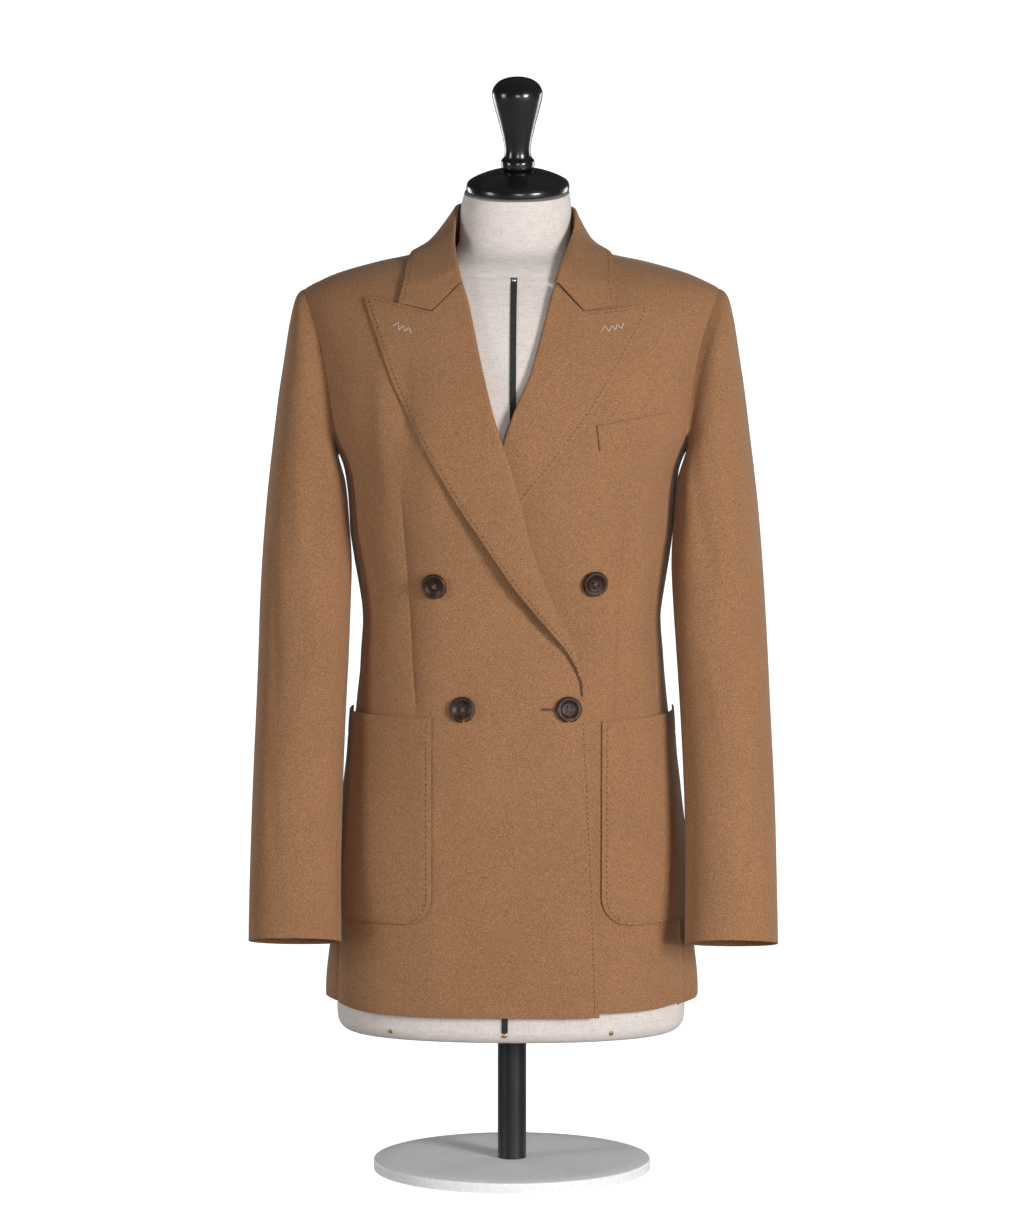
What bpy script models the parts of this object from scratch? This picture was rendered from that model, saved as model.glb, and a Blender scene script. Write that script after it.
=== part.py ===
"""Double breasted peak lapel blazer hanging on a limbless dress form with a short pole stand.

Every length in the tables is in millimetres and every mesh is built in metres.
The front of the blazer faces -Y, the wearer's left is +X, and the floor is z = 0.
"""

import math

import bmesh
import bpy
from mathutils import Vector

# ---------------------------------------------------------------- driving sizes (mm)
MM = 0.001
BODY_WALL = 1.5
FOLD_WALL = 1.8
SEAM_GAP_DEG = 0.12
RIDGE_GAP = 0.0009
LAYER_GAP = 1.2
SECTION_POWER = 2.5
UNDERARM_Z = 718.0
SEAM_DEG = 69.0
FRONT_COLUMNS = 11
NECK_HALF_WIDTH = 66.0
NECK_BACK_DEPTH = 64.0
LIFT_OVER_LAPEL = 5.6
LIFT_OVER_EDGE = 2.7

BUTTON_RADIUS = 12.2
BUTTON_DEPTH = 4.2
BUTTON_STANDOFF = 1.3
BUTTON_HOLE_RADIUS = 1.0
BUTTON_HOLE_OFFSET = 2.3
BUTTON_SIDES = 28

BASE_RADIUS = 135.0
BASE_DEPTH = 10.0
POLE_RADIUS = 13.9
FORM_BOTTOM_Z = 138.0
CAP_TILT_DEG = 12.0
CAP_CENTRE = (5.8, -3.0, 955.6)

# body section at each height: half width at the side, depth to the front and to the back
BODY = (
    # z, half_width, front, back
    (130, 172.0, 116.0, 118.0),
    (165, 176.0, 121.0, 124.0),
    (220, 175.0, 121.0, 127.0),
    (300, 170.0, 120.0, 128.0),
    (360, 163.0, 118.0, 124.0),
    (395, 159.0, 116.0, 120.0),
    (438, 153.0, 112.0, 113.0),
    (482, 148.4, 107.0, 105.0),
    (511, 146.5, 104.5, 100.0),
    (540, 144.5, 103.0, 97.0),
    (569, 147.0, 105.5, 96.5),
    (600, 152.0, 112.0, 98.0),
    (625, 156.0, 118.0, 101.0),
    (645, 157.3, 122.0, 104.0),
    (666, 159.0, 125.0, 106.0),
    (690, 163.5, 127.0, 109.0),
    (718, 176.4, 126.0, 111.0),
    (740, 180.5, 124.0, 113.0),
    (762, 184.0, 121.0, 115.0),
    (788, 189.0, 118.0, 116.0),
    (814, 195.5, 115.0, 117.0),
    (839, 204.3, 113.0, 118.0),
    (859, 210.5, 111.0, 118.0),
    (945, 214.0, 109.0, 118.0),
)

# top line of the shoulder from the neck outwards
RIDGE = (
    # x, z
    (0, 932.0),
    (30, 925.0),
    (50, 912.0),
    (64, 904.0),
    (92, 892.0),
    (128, 884.0),
    (167, 873.0),
    (190, 863.0),
    (199, 858.0),
    (215, 847.0),
)

# height of the hem round the body, 0 at centre front and 180 at centre back
HEM = (
    # degrees, z
    (0, 166.0),
    (45, 166.0),
    (69, 170.5),
    (90, 174.0),
    (180, 171.0),
)

# top edge of the side body under the arm
UNDERARM = (
    # degrees, z
    (69, 718.0),
    (76, 708.0),
    (90, 702.0),
    (104, 708.0),
    (111, 718.0),
)

# free edge of each front below the break, and its neck edge above the gorge
OVER_EDGE = (
    # z, x
    (160, 86.6),
    (250, 84.2),
    (338, 80.8),
    (403, 77.4),
    (449, 74.9),
    (466, 73.6),
)
OVER_NECK = (
    # z, x
    (876, -53.6),
    (890, -60.0),
    (905, -66.0),
)
UNDER_EDGE = (
    # z, x
    (160, -62.0),
    (300, -62.0),
    (449, -61.0),
    (480, -59.0),
)
UNDER_NECK = (
    # z, x
    (876, 53.6),
    (890, 60.0),
    (905, 66.0),
)

# one row per section of the lapel, from the gorge to the break
OVER_LAPEL = (
    # roll_x, roll_z, edge_x, edge_z, radius, lift, sag
    (-42.6, 860.9, -138.2, 848.3, 2.9, 0.0, -22.4),
    (-40.4, 853.5, -135.6, 840.5, 2.9, 0.0, -20.2),
    (-37.0, 842.0, -131.4, 828.6, 2.9, 0.0, -16.2),
    (-32.5, 822.0, -124.8, 811.5, 2.9, 0.0, -10.6),
    (-27.5, 798.0, -117.0, 791.0, 2.9, 0.0, -5.7),
    (-21.2, 771.0, -108.2, 767.5, 3.0, 0.0, -2.0),
    (-13.5, 740.0, -94.8, 739.8, 3.1, 0.0, 0.0),
    (-4.5, 712.0, -79.0, 711.0, 3.3, 0.4, 0.0),
    (4.0, 687.0, -63.2, 685.0, 3.5, 1.8, 0.0),
    (13.2, 656.0, -44.6, 654.0, 3.9, 4.0, 0.0),
    (21.2, 621.0, -21.8, 621.0, 4.5, 7.0, 0.0),
    (32.2, 587.0, 2.2, 584.0, 5.2, 9.6, 0.0),
    (44.4, 556.0, 24.5, 552.0, 5.2, 9.4, 0.0),
    (56.4, 532.0, 41.6, 529.0, 4.4, 6.5, 0.0),
    (64.6, 511.0, 56.2, 510.0, 3.3, 3.0, 0.0),
    (70.2, 487.0, 66.8, 487.5, 2.2, 0.6, 0.0),
    (73.4, 471.0, 69.6, 471.0, 1.9, 0.0, 0.0),
)

UNDER_LAPEL = (
    # roll_x, roll_z, edge_x, edge_z, radius, lift, sag
    (42.9, 860.5, 133.3, 839.5, 2.4, 0.0, -19.5),
    (40.9, 853.5, 131.2, 832.8, 2.4, 0.0, -17.8),
    (37.9, 842.0, 127.2, 823.5, 2.4, 0.0, -14.6),
    (33.2, 822.0, 119.9, 809.5, 2.4, 0.0, -9.4),
    (27.1, 798.0, 110.2, 792.2, 2.4, 0.0, -5.0),
    (19.3, 771.0, 97.7, 770.0, 2.4, 0.0, -2.0),
    (5.6, 740.0, 79.6, 740.0, 2.4, 0.0, 0.0),
    (-4.0, 712.0, 57.8, 710.0, 2.4, 0.0, 0.0),
    (-9.5, 687.0, 40.0, 687.0, 2.4, 0.0, 0.0),
    (-15.5, 656.0, 15.0, 656.0, 2.4, 0.0, 0.0),
    (-22.0, 621.0, 0.0, 621.0, 2.4, 0.0, 0.0),
    (-30.0, 588.0, -14.0, 587.0, 2.4, 0.0, 0.0),
    (-42.0, 548.0, -34.0, 548.0, 2.4, 0.0, 0.0),
    (-53.0, 510.0, -50.0, 510.0, 2.4, 0.0, 0.0),
)

# share of the gorge dip met across the top of a lapel, and across the end of the collar
LAPEL_DIP = (
    # across, share
    (0.0, 0.0),
    (0.285, 1.0),
    (0.645, 0.45),
    (0.90, 0.03),
    (1.0, 0.0),
)

COLLAR_DIP = (
    # across, share
    (0.0, 0.0),
    (0.44, 1.0),
    (1.0, 0.0),
)

# collar rows that lie on the chest, from the gorge upwards
COLLAR_CHEST = {
    # roll_x, roll_z, edge_x, edge_z, radius, sag
    "right": (
        (43.2, 861.8, 104.8, 842.5, 2.9, -17.6),
        (45.6, 870.0, 102.4, 853.0, 2.9, -9.5),
        (47.6, 878.0, 99.8, 865.5, 2.9, -4.0),
    ),
    "left": (
        (42.9, 861.8, 102.3, 840.6, 2.9, -16.8),
        (45.0, 870.0, 100.2, 852.0, 2.9, -9.0),
        (47.3, 878.0, 97.6, 864.5, 2.9, -4.0),
    ),
}

# collar rows that stand round the neck, which leans to the wearer's left, from the front to the back
COLLAR_NECK = {
    # fold_x, fold_y, fold_z, edge_x, edge_y, base_x, base_y, base_z, radius
    "right": (
        (52.6, -48.0, 899.0, 97.0, -30.0, 55.5, -46.5, 894.0, 2.8),
        (53.5, -27.0, 918.0, 88.0, -6.0, 58.4, -25.0, 905.0, 2.7),
        (53.5, -2.0, 934.8, 80.0, 17.0, 59.6, -2.0, 909.5, 2.7),
        (48.5, 25.0, 940.0, 70.0, 41.0, 54.0, 25.5, 910.5, 2.8),
        (33.0, 47.0, 942.5, 50.0, 64.0, 36.5, 48.5, 911.0, 3.0),
        (9.5, 59.0, 944.0, 17.0, 77.0, 12.0, 61.0, 911.0, 3.0),
    ),
    "left": (
        (54.4, -48.0, 896.6, 97.0, -31.2, 57.0, -46.5, 893.0, 2.8),
        (60.0, -27.0, 915.0, 84.0, -4.0, 61.6, -25.0, 905.0, 2.7),
        (60.8, -2.0, 931.5, 76.5, 18.0, 62.6, -2.0, 909.5, 2.7),
        (56.0, 25.0, 937.0, 67.0, 42.0, 58.0, 25.5, 910.5, 2.8),
        (39.5, 47.0, 941.0, 48.5, 64.0, 41.0, 48.5, 911.0, 3.0),
        (16.0, 59.0, 943.5, 18.0, 77.0, 16.0, 61.0, 911.0, 3.0),
    ),
}

# sleeve rings from the armhole to the cuff
SLEEVE = (
    # outer_x, outer_z, inner_x, inner_z, centre_y, half_depth, tilt_deg, armhole_share, lean, turn
    (199.6, 858.6, 168.8, 702.9, 0.0, 51.0, 0.0, 1.0, 0.0, 0.0),
    (206.0, 855.0, 168.8, 701.9, 0.0, 53.0, 0.0, 0.80, 0.0, 0.0),
    (210.6, 846.0, 168.6, 699.9, -0.5, 56.0, 0.0, 0.55, 0.0, 0.03),
    (215.4, 823.0, 168.0, 695.6, -1.0, 60.0, 0.0, 0.32, 0.0, 0.08),
    (220.2, 790.0, 167.0, 689.6, -2.0, 63.0, 0.0, 0.15, 0.0, 0.14),
    (225.0, 757.0, 165.4, 681.6, -4.0, 65.0, 0.0, 0.05, 0.0, 0.20),
    (229.8, 717.0, 163.6, 671.6, -6.0, 66.0, 0.0, 0.0, 0.0, 0.26),
    (234.0, 682.0, 162.0, 657.0, -8.0, 66.0, 0.0, 0.0, 0.2, 0.28),
    (237.8, 645.0, 160.0, 634.0, -11.0, 64.0, 0.0, 0.0, 0.4, 0.28),
    (241.3, 600.0, 157.0, 597.0, -15.0, 61.0, 1.0, 0.0, 0.6, 0.26),
    (243.8, 556.0, 157.4, 555.0, -20.0, 57.5, 3.0, 0.0, 1.0, 0.22),
    (245.8, 505.0, 158.8, 505.0, -28.0, 54.0, 6.5, 0.0, 1.8, 0.15),
    (247.6, 452.0, 161.0, 452.0, -41.0, 51.0, 10.0, 0.0, 2.4, 0.08),
    (249.6, 400.0, 163.0, 400.0, -55.0, 48.5, 12.0, 0.0, 3.0, 0.04),
    (251.2, 350.0, 164.4, 350.0, -66.0, 46.5, 12.0, 0.0, 3.4, 0.0),
    (252.2, 300.0, 165.0, 300.0, -77.0, 44.5, 12.0, 0.0, 3.6, 0.0),
    (252.8, 262.0, 164.6, 262.0, -85.0, 43.0, 12.0, 0.0, 3.8, 0.0),
    (253.0, 234.5, 164.2, 234.5, -91.0, 42.0, 12.0, 0.0, 4.0, 0.0),
)
SLEEVE_POWER = 2.2
TOP_SLEEVE_ARC = (-124.0, 151.0, 15)
UNDER_SLEEVE_ARC = (152.2, 234.5, 6)

# dress form section at each height
FORM = (
    # z, half_width, front, back, shift_x, shift_y
    (138.0, 152.0, 96.0, 101.0, -1.0, 0.0),
    (139.5, 160.0, 104.0, 109.0, -1.0, 0.0),
    (143.5, 165.5, 109.5, 114.5, -1.0, 0.0),
    (150.0, 168.6, 112.5, 117.5, -1.0, 0.0),
    (165.0, 169.4, 113.0, 118.0, -1.0, 0.0),
    (220.0, 166.6, 112.0, 118.5, -0.5, 0.0),
    (300.0, 160.8, 111.0, 118.5, 0.0, 0.0),
    (360.0, 153.5, 109.0, 114.5, 0.0, 0.0),
    (400.0, 148.0, 107.0, 109.5, 0.0, 0.0),
    (440.0, 142.5, 103.0, 103.0, 0.0, 0.0),
    (482.0, 138.5, 98.0, 96.0, 0.0, 0.0),
    (511.0, 136.5, 95.5, 91.5, 0.0, 0.0),
    (540.0, 135.0, 94.0, 88.5, 0.0, 0.0),
    (569.0, 137.0, 96.0, 87.5, 0.0, 0.0),
    (600.0, 142.0, 102.5, 89.5, 0.0, 0.0),
    (645.0, 147.0, 112.5, 95.0, 0.0, 0.0),
    (690.0, 150.0, 118.0, 100.0, 0.0, 0.0),
    (724.0, 151.5, 117.0, 103.0, 0.0, 0.0),
    (765.0, 152.5, 112.5, 105.0, 0.0, 0.0),
    (805.0, 150.0, 103.5, 104.0, 0.0, 0.0),
    (838.0, 140.0, 91.5, 96.0, 0.0, 0.0),
    (862.0, 116.0, 78.0, 81.0, 0.0, 0.0),
    (878.0, 95.0, 67.5, 73.0, 0.5, 0.0),
    (889.0, 66.0, 57.5, 59.0, 1.4, 1.0),
    (899.0, 55.0, 52.6, 52.0, 2.2, 1.0),
    (911.0, 53.6, 51.0, 51.0, 3.0, 1.0),
    (935.0, 53.2, 51.0, 51.0, 3.9, 0.0),
    (954.0, 49.8, 50.4, 50.4, 5.1, -3.0),
)
FORM_POWER = 2.3
FORM_SIDES = 48

FORM_TAPE = (
    # z, x
    (868.0, 4.6),
    (840.0, 4.6),
    (805.0, 4.7),
    (765.0, 4.8),
    (724.0, 5.0),
    (690.0, 4.8),
    (645.0, 4.0),
    (600.0, 3.2),
    (569.0, 2.8),
    (540.0, 2.4),
    (511.0, 2.0),
    (482.0, 1.6),
    (440.0, 1.0),
    (400.0, 0.4),
    (360.0, -0.2),
    (300.0, -1.0),
    (220.0, -2.0),
    (165.0, -2.8),
    (150.0, -3.0),
)
TAPE_HALF = 2.9
TAPE_WALL = 0.6
TAPE_GAP = 0.5

# patch pockets: inner edge x, top z at the inner edge and at the side, foot z, corner radii
POCKETS = {
    "right": {"side": -1, "inner": 72.2, "top_in": 450.5, "top_out": 451.0, "foot": 253.4, "corner": 27.0},
    "left": {"side": 1, "inner": 88.6, "top_in": 447.0, "top_out": 452.6, "foot": 252.4, "corner": 29.0},
}
POCKET_END_DEG = 97.0
POCKET_BULGE = 1.2
POCKET_GAPE = 3.2
POCKET_ROWS = (0.0, 0.04, 0.09, 0.15, 0.26, 0.40, 0.55, 0.70, 0.84, 0.94, 1.0)
POCKET_COLUMNS = 9

WELT = ((86.6, 704.6), (155.0, 716.4), (152.8, 741.2), (84.0, 728.6))

# vent at the foot of the side body's front seam, which passes under the front and then flares out
VENT_TOP_Z = 262.0
VENT_TUCK_Z = 244.0
VENT_LAP_Z = 214.0
VENT_FLARE = 5.0
VENT_TUCK = 2.3
VENT_LAP_DEG = 3.0
SIDE_V = (0.0, 0.07, 0.1, 0.126, 0.16, 0.25, 0.35, 0.45, 0.54, 0.63, 0.71, 0.79, 0.86, 0.93, 1.0)
SIDE_COLUMNS = (0.0, 0.04, 0.08, 0.13, 0.20, 0.34, 0.50, 0.67, 0.84, 1.0)

BUTTONS = (
    # name, x, z, half of the blazer it is sewn on
    ("button_waist_right", -67.9, 577.6, "over"),
    ("button_waist_left", 81.6, 578.6, "under"),
    ("button_lower_right", -42.4, 458.8, "over"),
    ("button_lower_left", 57.0, 459.0, "over"),
)

BUTTON_PROFILE = (
    # radius, height
    (0.0, 2.6),
    (5.6, 2.6),
    (7.4, 3.4),
    (9.2, 4.2),
    (11.0, 3.9),
    (12.2, 2.6),
    (11.9, 1.3),
    (9.6, 0.3),
    (0.0, 0.0),
)

HANDLE_PROFILE = (
    # radius, height above the cap plane
    (0.0, 106.0),
    (9.0, 105.2),
    (16.5, 102.4),
    (21.5, 98.0),
    (24.2, 92.0),
    (24.0, 86.0),
    (21.6, 76.0),
    (17.8, 62.0),
    (14.4, 48.0),
    (12.7, 38.0),
    (12.6, 33.0),
    (13.6, 28.5),
    (15.8, 25.6),
    (16.2, 22.0),
    (15.6, 18.6),
    (13.5, 17.2),
    (0.0, 17.2),
)

CAP_PROFILE = (
    # radius, height above the cap plane
    (0.0, 17.0),
    (13.0, 16.6),
    (26.0, 14.4),
    (38.0, 10.2),
    (46.0, 6.2),
    (48.6, 4.0),
    (49.6, 1.2),
    (49.6, -2.4),
    (48.4, -3.6),
    (0.0, -3.6),
)

MATERIALS = {
    # name: (colour, roughness, metallic)
    "camel_wool": ((0.315, 0.166, 0.083, 1.0), 0.92, 0.0),
    "camel_wool_dark": ((0.285, 0.148, 0.073, 1.0), 0.92, 0.0),
    "natural_linen": ((0.72, 0.66, 0.61, 1.0), 0.9, 0.0),
    "black_lacquer": ((0.012, 0.012, 0.013, 1.0), 0.25, 0.0),
    "black_tape": ((0.015, 0.015, 0.016, 1.0), 0.8, 0.0),
    "dark_horn": ((0.035, 0.022, 0.014, 1.0), 0.3, 0.0),
    "black_steel": ((0.01, 0.01, 0.011, 1.0), 0.4, 0.6),
    "white_steel": ((0.82, 0.82, 0.82, 1.0), 0.5, 0.0),
}


# ---------------------------------------------------------------- tables and curves
def curve(table, column, at):
    """Smooth value of one column of a table at a place in its first column."""
    rows = table
    count = len(rows)
    at = min(max(at, rows[0][0]), rows[-1][0])
    low = 0
    while low < count - 2 and at > rows[low + 1][0]:
        low += 1
    x0 = rows[low][0]
    x1 = rows[low + 1][0]
    y0 = rows[low][column]
    y1 = rows[low + 1][column]

    def slope(index):
        before = max(index - 1, 0)
        after = min(index + 1, count - 1)
        return (rows[after][column] - rows[before][column]) / (rows[after][0] - rows[before][0])

    span = x1 - x0
    t = (at - x0) / span
    m0 = slope(low) * span
    m1 = slope(low + 1) * span
    return (
        (2 * t**3 - 3 * t**2 + 1) * y0
        + (t**3 - 2 * t**2 + t) * m0
        + (3 * t**2 - 2 * t**3) * y1
        + (t**3 - t**2) * m1
    )


def linear(table, at):
    """Straight-line value of a two-column table."""
    for (x0, y0), (x1, y1) in zip(table, table[1:]):
        if at <= x1:
            return y0 + (y1 - y0) * (at - x0) / (x1 - x0)
    return table[-1][1]


def smooth(at, low, high):
    """Smooth step from 0 at low to 1 at high."""
    t = min(max((at - low) / (high - low), 0.0), 1.0)
    return t * t * (3 - 2 * t)


def power(value, exponent):
    """Signed power."""
    return math.copysign(abs(value) ** exponent, value)


# ---------------------------------------------------------------- body surface
def body_base(degrees, v):
    """Point of the outer body surface.

    degrees runs from 0 at centre front to 180 at centre back, positive towards +X;
    v runs from 0 at the hem to 1 at the underarm line and 2 on the shoulder line.
    """
    angle = math.radians(degrees)
    across = power(math.sin(angle), 2 / SECTION_POWER)
    ahead = power(math.cos(angle), 2 / SECTION_POWER)
    depth_column = 2 if ahead > 0 else 3
    if v <= 1:
        hem = curve(HEM, 1, abs(degrees))
        z = hem + (UNDERARM_Z - hem) * v
        x = curve(BODY, 1, z) * across
        close = 1.0
    else:
        rise = math.sin(math.radians(min(v - 1, 1.0) * 90))
        z = UNDERARM_Z
        x = 0.0
        for _ in range(6):
            x = curve(BODY, 1, z) * across
            z = UNDERARM_Z + rise * (curve(RIDGE, 1, abs(x)) - UNDERARM_Z)
        close = max(1 - rise * rise, 0.0) ** (1 / SECTION_POWER)
    y = -curve(BODY, depth_column, z) * ahead * close
    return Vector((x, y, z))


def body_point(degrees, v, height=0.0):
    """Point at a height above the outer body surface."""
    base = body_base(degrees, v)
    if height == 0.0:
        return base
    return base + body_normal(degrees, v) * height


def body_normal(degrees, v):
    """Outward direction of the body surface."""
    step_a = 0.4
    step_v = 0.003
    v_low = v - step_v
    v_high = min(v + step_v, 2.0)
    around = body_base(degrees + step_a, v) - body_base(degrees - step_a, v)
    upward = body_base(degrees, v_high) - body_base(degrees, v_low)
    return around.cross(upward).normalized()


def body_place(x, z, back=False):
    """Degrees and v of the body surface at x and z."""
    z = min(z, curve(RIDGE, 1, abs(x)))
    ratio = min(abs(x) / curve(BODY, 1, z), 1.0)
    degrees = math.degrees(math.asin(ratio ** (SECTION_POWER / 2)))
    if back:
        degrees = 180 - degrees
    if z <= UNDERARM_Z:
        hem = curve(HEM, 1, degrees)
        v = (z - hem) / (UNDERARM_Z - hem)
    else:
        rise = (z - UNDERARM_Z) / (curve(RIDGE, 1, abs(x)) - UNDERARM_Z)
        v = 1 + math.degrees(math.asin(min(rise, 1.0))) / 90
    return math.copysign(degrees, x), v


def drape(x, z, height, back=False):
    """Point of the body surface over x and z, lifted by height."""
    degrees, v = body_place(x, z, back)
    return body_point(degrees, v, height)


def over_lift(x, z):
    """Height of the outer face of the over front above the body surface."""
    upper = 1 - smooth(z, 738, 812)
    across = smooth(x, -104, -64)
    level = LIFT_OVER_EDGE + (LIFT_OVER_LAPEL - LIFT_OVER_EDGE) * smooth(z, 455, 500)
    return level * upper * across


def no_lift(x, z):
    """Height of the outer face of the under front above the body surface."""
    return 0.0


def side_lift(degrees, z):
    """Height of the side body: tucked under the front at the vent, then flaring out."""
    foot = 1 - smooth(z, 176, VENT_TOP_Z)
    across = smooth(degrees, 70.5, 82) * (1 - 0.5 * smooth(degrees, 90, 111))
    tucked = (1 - smooth(z, VENT_TUCK_Z, VENT_TOP_Z)) * (1 - smooth(degrees, 69.4, 72.6))
    return VENT_FLARE * foot * across - VENT_TUCK * tucked


def side_start(z):
    """Angle of the side body's front edge, which laps under the front at the vent."""
    return SEAM_DEG + SEAM_GAP_DEG - VENT_LAP_DEG * (1 - smooth(z, VENT_LAP_Z, VENT_TUCK_Z - 1))


# ---------------------------------------------------------------- meshes
def clear_scene():
    """Remove every object of the start-up scene."""
    for item in list(bpy.data.objects):
        bpy.data.objects.remove(item, do_unlink=True)


def make_materials():
    """Principled material for each finish."""
    made = {}
    for name, (colour, roughness, metallic) in MATERIALS.items():
        material = bpy.data.materials.new(name)
        material.use_nodes = True
        shader = material.node_tree.nodes["Principled BSDF"]
        shader.inputs["Base Color"].default_value = colour
        shader.inputs["Roughness"].default_value = roughness
        shader.inputs["Metallic"].default_value = metallic
        material.diffuse_color = colour
        made[name] = material
    return made


def add_mesh(name, points, faces, material, home):
    """Named object from points in millimetres."""
    mesh = bpy.data.meshes.new(name)
    mesh.from_pydata([tuple(p * MM for p in point) for point in points], [], faces)
    mesh.materials.append(material)
    for face in mesh.polygons:
        face.use_smooth = True
    item = bpy.data.objects.new(name, mesh)
    home.objects.link(item)
    return item


def grid_faces(rows, columns, around=False):
    """Quads of a grid of points stored row by row."""
    faces = []
    last = columns if around else columns - 1
    for row in range(rows - 1):
        for column in range(last):
            a = row * columns + column
            b = row * columns + (column + 1) % columns
            faces.append((a, b, b + columns, a + columns))
    return faces


def cloth(name, rows, wall, material, home, flip=False):
    """Sheet through rows of points on its outer side, given a wall inwards."""
    columns = len(rows[0])
    points = [point for row in rows for point in row]
    faces = grid_faces(len(rows), columns)
    if flip:
        faces = [tuple(reversed(face)) for face in faces]
    item = add_mesh(name, points, faces, material, home)
    solid = item.modifiers.new("wall", "SOLIDIFY")
    solid.thickness = wall * MM
    solid.offset = -1.0
    solid.use_quality_normals = True
    solid.use_rim = True
    return item


def spread(low, high, count):
    """Evenly spaced values."""
    return [low + (high - low) * step / (count - 1) for step in range(count)]


# ---------------------------------------------------------------- fronts, side bodies, backs
PANEL_V = (0.0, 0.07, 0.15, 0.25, 0.35, 0.45, 0.535, 0.552, 0.63, 0.71, 0.79, 0.86, 0.93, 1.0,
           1.15, 1.32, 1.50, 1.66, 1.80, 1.91, 2.0 - RIDGE_GAP)
EDGE_GAP = 1.9


def edge_places(edge, lapel, neck, side):
    """Inner edge of a front as v and degrees: free edge, then beside the fold, then the neck."""
    spots = [(x, z) for z, x in edge]
    for row in reversed(lapel):
        spots.append((row[0] + side * (row[4] + EDGE_GAP), row[1]))
    spots.extend((x, z) for z, x in neck)
    places = []
    for x, z in spots:
        degrees, v = body_place(x, z)
        if not places or v > places[-1][0] + 0.004:
            places.append((v, degrees))
    return places


def front_rows(inner, side, lift, v_foot):
    """Rows of a front from its inner edge to the side body seam and armhole."""
    rows = []
    for v in PANEL_V:
        v = max(v, v_foot)
        start = curve(inner, 1, v)
        stop = side * (SEAM_DEG - SEAM_GAP_DEG)
        row = []
        for degrees in spread(start, stop, FRONT_COLUMNS):
            base = body_base(degrees, v)
            row.append(body_point(degrees, v, lift(base.x, base.z)))
        rows.append(row)
    return rows


def build_fronts(stuff, home):
    """Over front (wearer's right) and under front (wearer's left)."""
    inner = edge_places(OVER_EDGE, OVER_LAPEL, OVER_NECK, -1)
    over = front_rows(inner, -1, over_lift, 0.0)
    cloth("front_right_over", over, BODY_WALL, stuff["camel_wool"], home, flip=True)
    inner = edge_places(UNDER_EDGE, UNDER_LAPEL, UNDER_NECK, 1)
    under = front_rows(inner, 1, no_lift, 0.0065)
    cloth("front_left_under", under, BODY_WALL, stuff["camel_wool_dark"], home)


def build_sides(stuff, home):
    """Side body under each arm, ending in the vent at its front hem corner."""
    for label, side in (("right", -1), ("left", 1)):
        rows = []
        for share in SIDE_V:
            row = []
            level = curve(HEM, 1, SEAM_DEG) + (UNDERARM_Z - curve(HEM, 1, SEAM_DEG)) * share
            start = side_start(level)
            stop = 180 - SEAM_DEG - SEAM_GAP_DEG
            for column in SIDE_COLUMNS:
                degrees = start + (stop - start) * column
                hem = curve(HEM, 1, degrees)
                top = curve(UNDERARM, 1, degrees)
                z = hem + (top - hem) * share
                v = (z - hem) / (UNDERARM_Z - hem)
                row.append(body_point(side * degrees, v, side_lift(degrees, z)))
            rows.append(row)
        cloth("side_body_" + label, rows, BODY_WALL, stuff["camel_wool_dark"], home, flip=side < 0)


def neck_limit(degrees):
    """Highest v of the back at an angle: the shoulder line, or the neck opening if that is lower."""
    low = 1.0
    high = 2.0 - RIDGE_GAP
    place = body_base(degrees, high)
    if (place.x / NECK_HALF_WIDTH) ** 2 + (place.y / NECK_BACK_DEPTH) ** 2 >= 1:
        return high
    for _ in range(30):
        middle = (low + high) / 2
        place = body_base(degrees, middle)
        if (place.x / NECK_HALF_WIDTH) ** 2 + (place.y / NECK_BACK_DEPTH) ** 2 >= 1:
            low = middle
        else:
            high = middle
    return low


def build_backs(stuff, home):
    """Two halves of the back with a centre seam."""
    for label, side in (("right", -1), ("left", 1)):
        rows = []
        for v in PANEL_V:
            row = []
            for degrees in spread(180 - SEAM_DEG + SEAM_GAP_DEG, 180 - SEAM_GAP_DEG, FRONT_COLUMNS):
                reach = v if v <= 1 else 1 + (v - 1) * (neck_limit(degrees) - 1) / (1 - RIDGE_GAP)
                base = body_base(degrees, reach)
                flare = 0.5 * VENT_FLARE * (1 - smooth(base.z, 176, VENT_TOP_Z))
                flare = flare * (1 - smooth(degrees, 112, 150))
                row.append(body_point(side * degrees, reach, flare))
            rows.append(row)
        cloth("back_" + label, rows, BODY_WALL, stuff["camel_wool"], home, flip=side < 0)


# ---------------------------------------------------------------- lapels and collar
ARC_TURNS = (0.0, 45.0, 90.0, 135.0, 180.0)


def fold_arc(root, normal, inward, radius, foot):
    """Points of a rounded fold standing on a panel edge."""
    centre = root + normal * (foot + radius)
    points = []
    for turn in ARC_TURNS:
        angle = math.radians(turn)
        points.append(centre - normal * (radius * math.cos(angle)) + inward * (radius * math.sin(angle)))
    return points


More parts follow.
